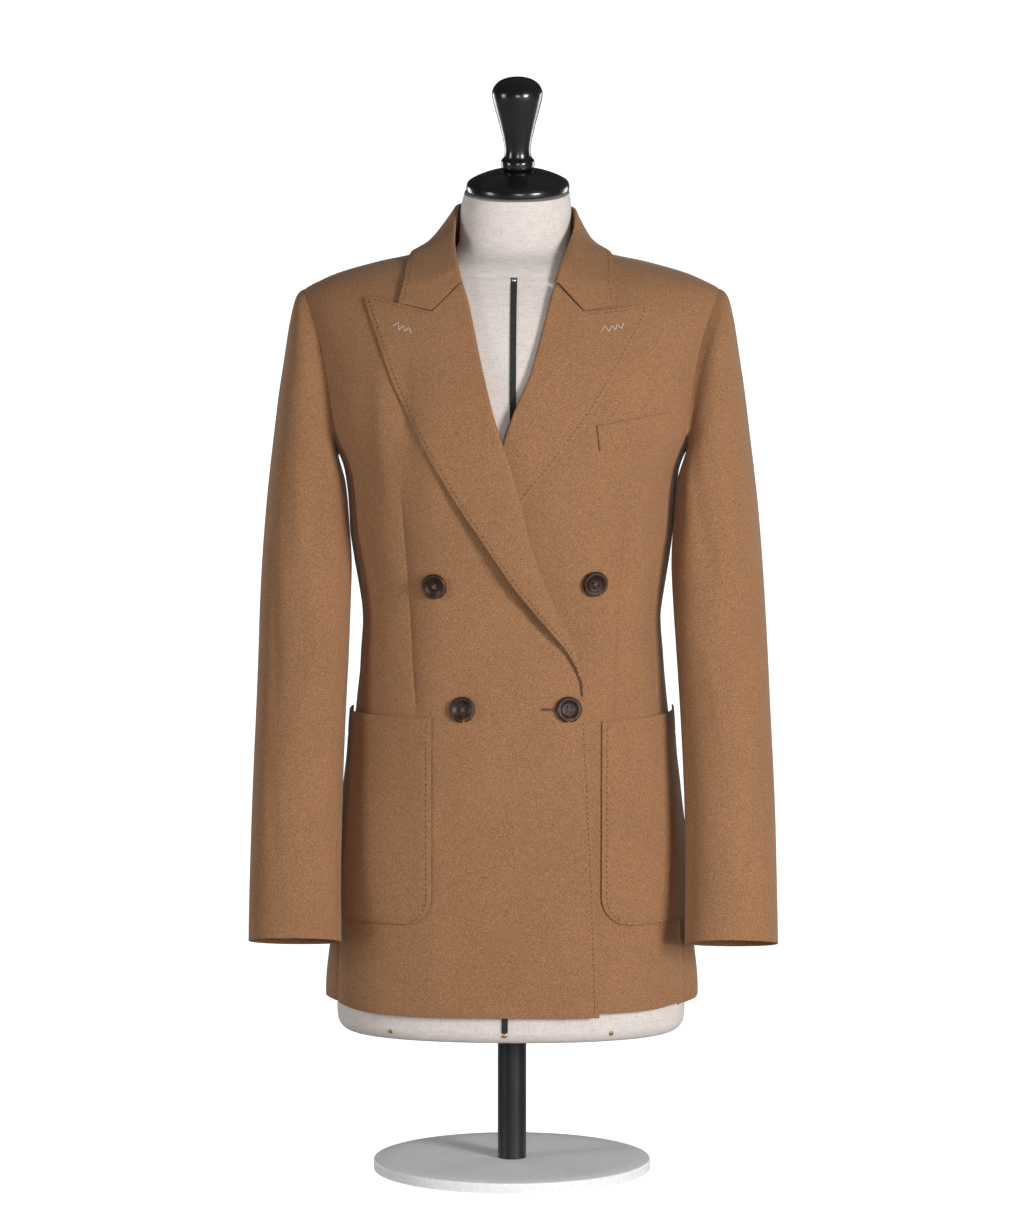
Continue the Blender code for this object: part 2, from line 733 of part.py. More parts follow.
def lapel_rows(table, side, lift, drop):
    """Sections of a lapel: the fold on the roll line, then the part lying on the chest."""
    across = (0.15, 0.285, 0.47, 0.645, 0.82, 0.92, 1.0)
    rows = []
    count = len(table)
    for index, (roll_x, roll_z, edge_x, edge_z, radius, rise, sag) in enumerate(table):
        if index == 0:
            roll_z = roll_z - drop
            edge_z = edge_z - drop * 0.4
        before = table[max(index - 1, 0)]
        after = table[min(index + 1, count - 1)]
        root_x = roll_x + side * radius
        height = lift(root_x, roll_z)
        degrees, v = body_place(root_x, roll_z)
        root = body_base(degrees, v)
        normal = body_normal(degrees, v)
        along = drape(after[0], after[1], 0) - drape(before[0], before[1], 0)
        inward = along.cross(normal).normalized()
        if inward.x * side > 0:
            inward = -inward
        foot = height - BODY_WALL
        row = fold_arc(root, normal, inward, radius, foot)
        top_height = foot + 2 * radius
        for share in across:
            x = root_x + (edge_x - root_x) * share
            z = roll_z + (edge_z - roll_z) * share + sag * linear(LAPEL_DIP, share)
            rest = lift(x, z) + LAYER_GAP + FOLD_WALL
            settle = max(top_height - rest, 0.0) * (1 - share) ** 1.6
            swell = rise * math.sin(math.pi * (0.12 + 0.5 * share) ** 1.2)
            row.append(drape(x, z, rest + settle + swell))
        rows.append(row)
    return rows


def build_lapels(stuff, home):
    """Peak lapels, each turned back along its roll line."""
    over = lapel_rows(OVER_LAPEL, -1, over_lift, 0.9)
    cloth("lapel_right_over", over, FOLD_WALL, stuff["camel_wool"], home)
    under = lapel_rows(UNDER_LAPEL, 1, no_lift, 0.9)
    cloth("lapel_left_under", under, FOLD_WALL, stuff["camel_wool"], home, flip=True)


COLLAR_ACROSS = (0.2, 0.44, 0.73, 1.0)


def shoulder_z(x, y):
    """Height of the body surface over x and y, above the underarm line."""
    column = 2 if y < 0 else 3
    z = UNDERARM_Z + 150
    for _ in range(12):
        section = curve(BODY, column, z) * (1 - min(abs(x) / curve(BODY, 1, z), 1.0) ** SECTION_POWER) ** 0.4
        rise = math.sqrt(max(1 - min(abs(y) / section, 1.0) ** SECTION_POWER, 0.0))
        z = UNDERARM_Z + rise * (curve(RIDGE, 1, abs(x)) - UNDERARM_Z)
    return z


def rest_z(x, y):
    """Height at which the outer side of the collar rests over x and y."""
    here = shoulder_z(x, y)
    slope_x = (shoulder_z(x + 1, y) - here)
    slope_y = (shoulder_z(x, y + 1) - here)
    return here + (LAYER_GAP + FOLD_WALL + 1.0) * math.sqrt(1 + slope_x**2 + slope_y**2)


def collar_chest_row(table_row, neighbours, side):
    """Collar section that lies on the chest."""
    roll_x, roll_z, edge_x, edge_z, radius, sag = table_row
    root_x = roll_x + radius
    degrees, v = body_place(side * root_x, roll_z)
    root = body_base(degrees, v)
    normal = body_normal(degrees, v)
    before, after = neighbours
    along = drape(side * after[0], after[1], 0) - drape(side * before[0], before[1], 0)
    inward = along.cross(normal).normalized()
    if inward.x * side > 0:
        inward = -inward
    row = fold_arc(root, normal, inward, radius, -BODY_WALL)
    row[0] = root + normal * (-BODY_WALL)
    start = row[0]
    row.insert(0, start.lerp(row[1], -0.2))
    row.insert(0, start.lerp(row[2], -0.4))
    top_height = -BODY_WALL + 2 * radius
    for share in COLLAR_ACROSS:
        x = side * (root_x + (edge_x - root_x) * share)
        z = roll_z + (edge_z - roll_z) * share + sag * linear(COLLAR_DIP, share)
        rest = LAYER_GAP + FOLD_WALL + 0.8
        settle = max(top_height - rest, 0.0) * (1 - share) ** 1.6
        row.append(drape(x, z, rest + settle))
    return row


def collar_neck_row(values, side):
    """Collar section that stands round the neck: stand, fold and fall."""
    fold = Vector((side * values[0], values[1], values[2]))
    edge = Vector((side * values[3], values[4], rest_z(values[3], values[4])))
    base = Vector((side * values[5], values[6], values[7]))
    radius = values[8]
    outward = Vector((edge.x - fold.x, edge.y - fold.y, 0)).normalized()
    upward = (fold - (edge * 0.35 + base * 0.65)).normalized()
    outward = (outward - upward * outward.dot(upward)).normalized()
    centre = fold - upward * radius
    row = []
    for turn in ARC_TURNS:
        angle = math.radians(turn)
        row.append(centre - outward * (radius * math.cos(angle)) + upward * (radius * math.sin(angle)))
    row.insert(0, base.lerp(row[0], 0.5))
    row.insert(0, base)
    leg_start = row[-1]
    bulge = (outward + Vector((0, 0, 0.8))).normalized()
    for share in COLLAR_ACROSS:
        point = leg_start.lerp(edge, share) + bulge * (0.6 * math.sin(math.pi * share))
        point.z = max(point.z, rest_z(abs(point.x), point.y))
        row.append(point)
    return row


def blend_rows(keys, steps):
    """Smooth rows between key rows."""
    rows = []
    count = len(keys)
    for index in range(count - 1):
        p0 = keys[max(index - 1, 0)]
        p1 = keys[index]
        p2 = keys[index + 1]
        p3 = keys[min(index + 2, count - 1)]
        for step in range(steps):
            t = step / steps
            row = []
            for a, b, c, d in zip(p0, p1, p2, p3):
                m1 = (c - a) * 0.5
                m2 = (d - b) * 0.5
                row.append(
                    b * (2 * t**3 - 3 * t**2 + 1)
                    + m1 * (t**3 - 2 * t**2 + t)
                    + c * (3 * t**2 - 2 * t**3)
                    + m2 * (t**3 - t**2)
                )
            rows.append(row)
    rows.append(keys[-1])
    return rows


def build_collar(stuff, home):
    """Collar in one length: stand, fold and fall, from gorge to gorge."""
    halves = []
    for label, side in (("right", -1), ("left", 1)):
        keys = []
        chest = COLLAR_CHEST[label]
        for index, values in enumerate(chest):
            before = chest[max(index - 1, 0)]
            after = chest[min(index + 1, len(chest) - 1)]
            keys.append(collar_chest_row(values, (before, after), side))
        for values in COLLAR_NECK[label]:
            keys.append(collar_neck_row(values, side))
        halves.append(keys)
    keys = halves[0] + list(reversed(halves[1]))
    rows = blend_rows(keys, 2)
    cloth("collar", rows, FOLD_WALL, stuff["camel_wool"], home, flip=True)


# ---------------------------------------------------------------- sleeves
def armhole_loop(side):
    """Closed armhole seam, sampled finely, starting at the shoulder."""
    points = []
    for v in spread(2.0, 1.0, 30):
        points.append(body_base(side * SEAM_DEG, v))
    for degrees in spread(SEAM_DEG, 180 - SEAM_DEG, 24)[1:-1]:
        hem = curve(HEM, 1, degrees)
        z = curve(UNDERARM, 1, degrees)
        points.append(body_base(side * degrees, (z - hem) / (UNDERARM_Z - hem)))
    for v in spread(1.0, 2.0, 30):
        points.append(body_base(side * (180 - SEAM_DEG), v))
    return points


def sleeve_ring_point(row, side, degrees):
    """Point of a plain sleeve ring; 0 degrees is outermost and 90 is foremost."""
    outer_x, outer_z, inner_x, inner_z, centre_y, half_depth, tilt, _, lean, turn = row
    outer = Vector((side * outer_x, 0, outer_z))
    inner = Vector((side * inner_x, 0, inner_z))
    centre = (outer + inner) / 2
    arm = outer - centre
    angle = math.radians(degrees)
    along = power(math.cos(angle), 2 / SLEEVE_POWER)
    ahead = power(math.sin(angle), 2 / SLEEVE_POWER)
    point = centre + arm * along
    point.x += lean
    forward = half_depth * ahead
    point.x -= side * turn * forward * (1 - along) / 2
    point.y = centre_y - forward
    point.z += forward * math.tan(math.radians(tilt))
    return point


def armhole_offsets(side, angles):
    """Difference between the armhole seam and the first plain ring at each angle."""
    row = SLEEVE[0]
    outer = Vector((side * row[0], 0, row[1]))
    inner = Vector((side * row[2], 0, row[3]))
    centre = (outer + inner) / 2
    arm = outer - centre
    loop = []
    for point in armhole_loop(side):
        shifted = point + Vector((side * 1.1, 0, 0.3))
        along = (shifted - centre).dot(arm) / arm.length_squared
        ahead = -(shifted.y - row[4]) / row[5]
        loop.append((math.degrees(math.atan2(power(ahead, SLEEVE_POWER / 2), power(along, SLEEVE_POWER / 2))), shifted))
    loop.sort(key=lambda pair: pair[0])
    first = loop[0]
    last = loop[-1]
    loop = [(last[0] - 360, last[1])] + loop + [(first[0] + 360, first[1])]
    offsets = {}
    for degrees in angles:
        wrapped = (degrees + 180) % 360 - 180
        for (a0, p0), (a1, p1) in zip(loop, loop[1:]):
            if a0 <= wrapped <= a1:
                share = (wrapped - a0) / max(a1 - a0, 1e-9)
                offsets[degrees] = p0.lerp(p1, share) - sleeve_ring_point(row, side, wrapped)
                break
    return offsets


def build_sleeves(stuff, home):
    """Two-piece sleeves: top sleeve over the arm and under sleeve beside the body."""
    for label, side in (("right", -1), ("left", 1)):
        for part, arc in (("top", TOP_SLEEVE_ARC), ("under", UNDER_SLEEVE_ARC)):
            angles = spread(*arc)
            offsets = armhole_offsets(side, angles)
            rows = []
            for row in SLEEVE:
                points = []
                for degrees in angles:
                    point = sleeve_ring_point(row, side, degrees)
                    points.append(point + offsets[degrees] * row[7])
                rows.append(points)
            cloth("sleeve_" + part + "_" + label, rows, BODY_WALL, stuff["camel_wool"], home, flip=side < 0)


# ---------------------------------------------------------------- pockets
def panel_height(side, degrees, x, z):
    """Height of the outermost panel below a pocket."""
    flat = over_lift(x, z) if side < 0 else 0.0
    swing = side_lift(abs(degrees), z) * smooth(abs(degrees), SEAM_DEG - 4, SEAM_DEG)
    return max(flat, swing)


def build_patch_pockets(stuff, home):
    """Large patch pockets over the front and side body, gaping a little at the mouth."""
    for label, size in POCKETS.items():
        side = size["side"]
        rows = []
        for share in POCKET_ROWS:
            row = []
            for column in range(POCKET_COLUMNS):
                step = column / (POCKET_COLUMNS - 1)
                top = size["top_in"] + (size["top_out"] - size["top_in"]) * step
                z = size["foot"] + (top - size["foot"]) * share
                rise = min((z - size["foot"]) / size["corner"], 1.0)
                inset = size["corner"] * (1 - math.sqrt(max(1 - (1 - rise) ** 2, 0.0)))
                inner, _ = body_place(size["inner"] + inset, z)
                degrees = inner + (POCKET_END_DEG - inner) * step
                hem = curve(HEM, 1, degrees)
                v = (z - hem) / (UNDERARM_Z - hem)
                base = body_base(side * degrees, v)
                bulge = POCKET_BULGE * math.sin(math.pi * min(step * 1.1, 1.0)) * math.sin(math.pi * share)
                gape = POCKET_GAPE * smooth(share, 0.72, 1.0) * smooth(step, 0.25, 0.8)
                height = panel_height(side, degrees, base.x, z) + LAYER_GAP + BODY_WALL + bulge + gape
                row.append(body_point(side * degrees, v, height))
            rows.append(row)
        cloth("patch_pocket_" + label, rows, BODY_WALL, stuff["camel_wool"], home, flip=side < 0)


def build_welt(stuff, home):
    """Slanted welt of the breast pocket on the wearer's left."""
    (x0, z0), (x1, z1), (x2, z2), (x3, z3) = WELT
    rows = []
    for up in spread(0.0, 1.0, 4):
        row = []
        for across in spread(0.0, 1.0, 8):
            low_x = x0 + (x1 - x0) * across
            low_z = z0 + (z1 - z0) * across
            high_x = x3 + (x2 - x3) * across
            high_z = z3 + (z2 - z3) * across
            x = low_x + (high_x - low_x) * up
            z = low_z + (high_z - low_z) * up
            row.append(drape(x, z, 0.8 + BODY_WALL))
        rows.append(row)
    cloth("breast_welt", rows, BODY_WALL, stuff["camel_wool"], home)


# ---------------------------------------------------------------- turned parts
def turned(name, profile, sides, material, home):
    """Closed turned solid about Z from a profile of radius and height, top to bottom."""
    mesh = bpy.data.meshes.new(name)
    points = [(radius * MM, 0.0, height * MM) for radius, height in profile]
    edges = [(index, index + 1) for index in range(len(points) - 1)]
    mesh.from_pydata(points, edges, [])
    mesh.materials.append(material)
    item = bpy.data.objects.new(name, mesh)
    home.objects.link(item)
    screw = item.modifiers.new("turn", "SCREW")
    screw.axis = "Z"
    screw.steps = sides
    screw.render_steps = sides
    screw.use_merge_vertices = True
    screw.merge_threshold = 0.00005
    screw.use_smooth_shade = True
    return item


def build_buttons(stuff, home, tools):
    """Four-hole horn buttons, two by two."""
    spots = [(a * BUTTON_HOLE_OFFSET, b * BUTTON_HOLE_OFFSET) for a in (-1, 1) for b in (-1, 1)]
    for name, x, z, half in BUTTONS:
        lift = over_lift(x, z) if half == "over" else 0.0
        degrees, v = body_place(x, z)
        normal = body_normal(degrees, v)
        seat = body_point(degrees, v, lift + BUTTON_STANDOFF)
        item = turned(name, BUTTON_PROFILE, BUTTON_SIDES, stuff["dark_horn"], home)
        turn = normal.to_track_quat("Z", "Y")
        item.rotation_mode = "QUATERNION"
        item.rotation_quaternion = turn
        item.location = seat * MM
        for index, (side_step, up_step) in enumerate(spots):
            mesh = bpy.data.meshes.new(name + "_hole")
            shape = bmesh.new()
            bmesh.ops.create_cone(
                shape,
                cap_ends=True,
                segments=10,
                radius1=BUTTON_HOLE_RADIUS * MM,
                radius2=BUTTON_HOLE_RADIUS * MM,
                depth=12 * MM,
            )
            shape.to_mesh(mesh)
            shape.free()
            cutter = bpy.data.objects.new(name + "_hole_" + str(index), mesh)
            tools.objects.link(cutter)
            cutter.hide_render = True
            cutter.display_type = "WIRE"
            cutter.rotation_mode = "QUATERNION"
            cutter.rotation_quaternion = turn
            offset = turn @ Vector((side_step, up_step, 2.0))
            cutter.location = (seat + offset) * MM
            cut = item.modifiers.new("hole", "BOOLEAN")
            cut.operation = "DIFFERENCE"
            cut.solver = "EXACT"
            cut.object = cutter


def build_cap_and_handle(stuff, home):
    """Domed neck cap and turned handle, tilted forward together."""
    tilt = math.radians(CAP_TILT_DEG)
    for name, profile, sides in (("neck_cap", CAP_PROFILE, 48), ("neck_handle", HANDLE_PROFILE, 40)):
        item = turned(name, profile, sides, stuff["black_lacquer"], home)
        item.rotation_euler = (tilt, 0.0, 0.0)
        item.location = Vector(CAP_CENTRE) * MM


# ---------------------------------------------------------------- form and stand
def form_point(z, degrees, height=0.0):
    """Point of the dress form; 0 degrees is centre front."""
    half = curve(FORM, 1, z)
    front = curve(FORM, 2, z)
    back = curve(FORM, 3, z)
    shift_x = curve(FORM, 4, z)
    shift_y = curve(FORM, 5, z)
    angle = math.radians(degrees)
    across = power(math.sin(angle), 2 / FORM_POWER)
    ahead = power(math.cos(angle), 2 / FORM_POWER)
    depth = front if ahead > 0 else back
    return Vector((half * across + shift_x, -(depth + height) * ahead + shift_y, z))


def build_form(stuff, home):
    """Limbless padded torso with its neck, closed at the foot and under the cap."""
    rows = []
    for row in FORM:
        rows.append([form_point(row[0], 360 * step / FORM_SIDES) for step in range(FORM_SIDES)])
    tilt = math.tan(math.radians(CAP_TILT_DEG))
    top = rows[-1]
    level = sum((point.z for point in top)) / len(top)
    rows[-1] = [Vector((point.x, point.y, level - 4.0 + (point.y + 3.0) * tilt)) for point in top]
    points = [point for row in rows for point in row]
    faces = grid_faces(len(rows), FORM_SIDES, around=True)
    count = len(rows)
    faces.append(tuple(reversed(range(FORM_SIDES))))
    faces.append(tuple(range((count - 1) * FORM_SIDES, count * FORM_SIDES)))
    add_mesh("form_torso", points, faces, stuff["natural_linen"], home)


def build_form_tape(stuff, home):
    """Narrow tape down the centre front of the form."""
    rows = []
    for z, x in FORM_TAPE:
        row = []
        for across in (-TAPE_HALF, 0.0, TAPE_HALF):
            half = curve(FORM, 1, z)
            shift_x = curve(FORM, 4, z)
            ratio = (x + across - shift_x) / half
            degrees = math.degrees(math.asin(power(ratio, FORM_POWER / 2)))
            row.append(form_point(z, degrees, TAPE_GAP + TAPE_WALL))
        rows.append(row)
    cloth("form_tape", rows, TAPE_WALL, stuff["black_tape"], home, flip=True)


def build_stand(stuff, home):
    """Straight pole under the form and the round foot plate it stands on."""
    plate = (
        (0.0, BASE_DEPTH),
        (BASE_RADIUS - 1.5, BASE_DEPTH),
        (BASE_RADIUS, BASE_DEPTH - 1.5),
        (BASE_RADIUS, 0.0),
        (0.0, 0.0),
    )
    turned("foot_plate", plate, 72, stuff["white_steel"], home)
    foot = BASE_DEPTH + 0.05
    head = FORM_BOTTOM_Z - 0.05
    pole = ((0.0, head), (POLE_RADIUS, head), (POLE_RADIUS, foot), (0.0, foot))
    turned("pole", pole, 40, stuff["black_steel"], home)


def main():
    """Build every node of the blazer, the form and its stand."""
    clear_scene()
    home = bpy.data.collections.new("double_breasted_blazer")
    bpy.context.scene.collection.children.link(home)
    tools = bpy.data.collections.new("cutters")
    bpy.context.scene.collection.children.link(tools)
    stuff = make_materials()
    build_stand(stuff, home)
    build_form(stuff, home)
    build_form_tape(stuff, home)
    build_cap_and_handle(stuff, home)
    build_backs(stuff, home)
    build_sides(stuff, home)
    build_fronts(stuff, home)
    build_lapels(stuff, home)
    build_collar(stuff, home)
    build_sleeves(stuff, home)
    build_patch_pockets(stuff, home)
    build_welt(stuff, home)
    build_buttons(stuff, home, tools)


main()
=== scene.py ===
"""Double breasted peak lapel blazer on a linen dress form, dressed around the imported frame.

Lengths in the tables are in millimetres and every mesh is built in metres. The front of the
blazer faces -Y, the wearer's left is +X, and the floor is z = 0.
"""

import logging
import math
from dataclasses import dataclass, field
from enum import Enum
from typing import Callable, Sequence

import bmesh
import bpy
import numpy as np
from mathutils import Matrix, Vector


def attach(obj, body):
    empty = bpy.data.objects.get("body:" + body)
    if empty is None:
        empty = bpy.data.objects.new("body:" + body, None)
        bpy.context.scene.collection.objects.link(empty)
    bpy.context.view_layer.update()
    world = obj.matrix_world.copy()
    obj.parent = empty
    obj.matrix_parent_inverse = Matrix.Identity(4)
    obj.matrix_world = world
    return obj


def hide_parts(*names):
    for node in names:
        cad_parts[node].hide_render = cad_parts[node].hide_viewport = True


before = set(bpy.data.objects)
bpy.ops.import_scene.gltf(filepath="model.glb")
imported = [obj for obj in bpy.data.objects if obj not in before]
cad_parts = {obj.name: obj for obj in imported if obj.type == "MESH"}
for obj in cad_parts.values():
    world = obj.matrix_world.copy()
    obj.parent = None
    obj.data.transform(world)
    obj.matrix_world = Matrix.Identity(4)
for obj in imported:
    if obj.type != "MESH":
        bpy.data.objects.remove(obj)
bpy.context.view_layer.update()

LOG = logging.getLogger("blazer")
MM = 0.001
Array = np.ndarray
Rows = Sequence[Sequence[float]]


# ---------------------------------------------------------------- tables and small sums
class Table:
    """A short table read as smooth curves against its first column."""

    def __init__(self, rows: Rows) -> None:
        """Keep the rows and the slope of every column."""
        self.rows = np.array(rows, float)
        self.place = self.rows[:, 0]
        self.slopes = np.zeros_like(self.rows)
        gaps = self.place[2:] - self.place[:-2]
        self.slopes[1:-1] = (self.rows[2:] - self.rows[:-2]) / gaps[:, None]
        self.slopes[0] = (self.rows[1] - self.rows[0]) / (self.place[1] - self.place[0])
        self.slopes[-1] = (self.rows[-1] - self.rows[-2]) / (self.place[-1] - self.place[-2])

    def at(self, column: int, where: Array | float) -> Array:
        """Smooth value of a column.

        Args:
            column: Number of the column, from 1.
            where: Places in the first column.

        Returns:
            The values, in the shape of where.
        """
        spot = np.clip(np.asarray(where, float), self.place[0], self.place[-1])
        low = np.clip(np.searchsorted(self.place, spot) - 1, 0, len(self.place) - 2)
        span = self.place[low + 1] - self.place[low]
        t = (spot - self.place[low]) / span
        start = self.rows[low, column]
        stop = self.rows[low + 1, column]
        rise_in = self.slopes[low, column] * span
        rise_out = self.slopes[low + 1, column] * span
        return (
            (2 * t**3 - 3 * t**2 + 1) * start
            + (t**3 - 2 * t**2 + t) * rise_in
            + (3 * t**2 - 2 * t**3) * stop
            + (t**3 - t**2) * rise_out
        )


def smooth(value: Array | float, low: float, high: float) -> Array:
    """Smooth step from 0 at low to 1 at high."""
    t = np.clip((np.asarray(value, float) - low) / (high - low), 0.0, 1.0)
    return t * t * (3 - 2 * t)


def power(value: Array | float, exponent: float) -> Array:
    """Power that keeps its sign."""
    value = np.asarray(value, float)
    return np.sign(value) * np.abs(value) ** exponent


def unit(vectors: Array) -> Array:
    """Vectors of length one."""
    return vectors / np.maximum(np.linalg.norm(vectors, axis=-1, keepdims=True), 1e-12)


def bell(distance: Array | float, width: float) -> Array:
    """Soft bump of height one about zero."""
    return np.exp(-((np.asarray(distance, float) / width) ** 2))


class Side(Enum):
    """Which half of the blazer, by the wearer; the value is the sign of x."""

    RIGHT = -1
    LEFT = 1

    @property
    def label(self) -> str:
        """Lower-case name."""
        return self.name.lower()


# ---------------------------------------------------------------- the body surface
@dataclass(frozen=True)
class Body:
    """Outer surface of the worn blazer, from which every layer is lifted.

    Angles run from 0 at centre front to 180 at centre back, positive towards +X. v runs from 0
    at the hem to 1 at the underarm line and 2 on the shoulder line.
    """

    section_power: float = 2.5
    underarm: float = 718.0
    seam: float = 69.0
    neck_half_width: float = 66.0
    neck_back_depth: float = 64.0
    sections: Table = field(default_factory=lambda: Table((
        # z, half width, front, back
        (130, 172.0, 116.0, 118.0),
        (165, 176.0, 121.0, 124.0),
        (220, 175.0, 121.0, 127.0),
        (300, 170.0, 120.0, 128.0),
        (360, 163.0, 118.0, 124.0),
        (395, 159.0, 116.0, 120.0),
        (438, 153.0, 112.0, 113.0),
        (482, 148.4, 107.0, 105.0),
        (511, 146.5, 104.5, 100.0),
        (540, 144.5, 103.0, 97.0),
        (569, 147.0, 105.5, 96.5),
        (600, 152.0, 112.0, 98.0),
        (625, 156.0, 118.0, 101.0),
        (645, 157.3, 122.0, 104.0),
        (666, 159.0, 125.0, 106.0),
        (690, 163.5, 127.0, 109.0),
        (718, 176.4, 126.0, 111.0),
        (740, 180.5, 124.0, 113.0),
        (762, 184.0, 121.0, 115.0),
        (788, 189.0, 118.0, 116.0),
        (814, 195.5, 115.0, 117.0),
        (839, 204.3, 113.0, 118.0),
        (859, 210.5, 111.0, 118.0),
        (945, 214.0, 109.0, 118.0),
    )))
    ridge: Table = field(default_factory=lambda: Table((
        # x, z
        (0, 932.0),
        (30, 925.0),
        (50, 912.0),
        (64, 904.0),
        (92, 892.0),
        (128, 884.0),
        (167, 873.0),
        (190, 863.0),
        (199, 858.0),
        (215, 847.0),
    )))
    hem: Table = field(default_factory=lambda: Table((
        # degrees, z
        (0, 166.0),
        (45, 166.0),
        (69, 170.5),
        (90, 174.0),
        (180, 171.0),
    )))
    armpit: Table = field(default_factory=lambda: Table((
        # degrees, z
        (69, 718.0),
        (76, 708.0),
        (90, 702.0),
        (104, 708.0),
        (111, 718.0),
    )))

    def base(self, degrees: Array | float, v: Array | float) -> Array:
        """Points of the surface at angles and v."""
        degrees, v = np.broadcast_arrays(np.asarray(degrees, float), np.asarray(v, float))
        angle = np.radians(degrees)
        across = power(np.sin(angle), 2 / self.section_power)
        ahead = power(np.cos(angle), 2 / self.section_power)
        hem = self.hem.at(1, np.abs(degrees))
        z = hem + (self.underarm - hem) * np.minimum(v, 1.0)
        rise = np.sin(np.radians(np.clip(v - 1, 0.0, 1.0) * 90))
        x = self.sections.at(1, z) * across
        for _ in range(6):
            shoulder = self.underarm + rise * (self.ridge.at(1, np.abs(x)) - self.underarm)
            z = np.where(v > 1, shoulder, z)
            x = self.sections.at(1, z) * across
        close = np.maximum(1 - rise * rise, 0.0) ** (1 / self.section_power)
        depth = np.where(ahead > 0, self.sections.at(2, z), self.sections.at(3, z))
        return np.stack([x, -depth * ahead * close, z], axis=-1)

    def normal(self, degrees: Array | float, v: Array | float) -> Array:
        """Outward directions of the surface."""
        degrees, v = np.broadcast_arrays(np.asarray(degrees, float), np.asarray(v, float))
        around = self.base(degrees + 0.4, v) - self.base(degrees - 0.4, v)
        upward = self.base(degrees, np.minimum(v + 0.003, 2.0)) - self.base(degrees, v - 0.003)
        return unit(np.cross(around, upward))

    def lifted(self, degrees: Array | float, v: Array | float, height: Array | float) -> Array:
        """Points at a height above the surface."""
        return self.base(degrees, v) + self.normal(degrees, v) * np.asarray(height)[..., None]

    def place(self, x: Array | float, z: Array | float) -> tuple[Array, Array]:
        """Angles and v of the front surface at x and z."""
        x, z = np.broadcast_arrays(np.asarray(x, float), np.asarray(z, float))
        top = self.ridge.at(1, np.abs(x))
        z = np.minimum(z, top)
        ratio = np.minimum(np.abs(x) / self.sections.at(1, z), 1.0)
        degrees = np.degrees(np.arcsin(ratio ** (self.section_power / 2)))
        hem = self.hem.at(1, degrees)
        rise = np.clip((z - self.underarm) / (top - self.underarm), 0.0, 1.0)
        v = np.where(
            z <= self.underarm,
            (z - hem) / (self.underarm - hem),
            1 + np.degrees(np.arcsin(rise)) / 90,
        )
        return np.sign(x) * degrees, v

    def drape(self, x: Array | float, z: Array | float, height: Array | float) -> Array:
        """Points over x and z on the front, lifted by height."""
        degrees, v = self.place(x, z)
        return self.lifted(degrees, v, height)

    def shoulder_z(self, x: Array, y: Array) -> Array:
        """Height of the surface over x and y, above the underarm line."""
        z = np.full_like(np.asarray(x, float), self.underarm + 150)
        for _ in range(12):
            depth = np.where(y < 0, self.sections.at(2, z), self.sections.at(3, z))
            ratio = np.minimum(np.abs(x) / self.sections.at(1, z), 1.0)
            depth = depth * np.maximum(1 - ratio**self.section_power, 1e-9) ** 0.4
            rise = np.sqrt(np.maximum(1 - np.minimum(np.abs(y) / depth, 1.0) ** self.section_power, 0.0))
            z = self.underarm + rise * (self.ridge.at(1, np.abs(x)) - self.underarm)
        return z


BODY = Body()


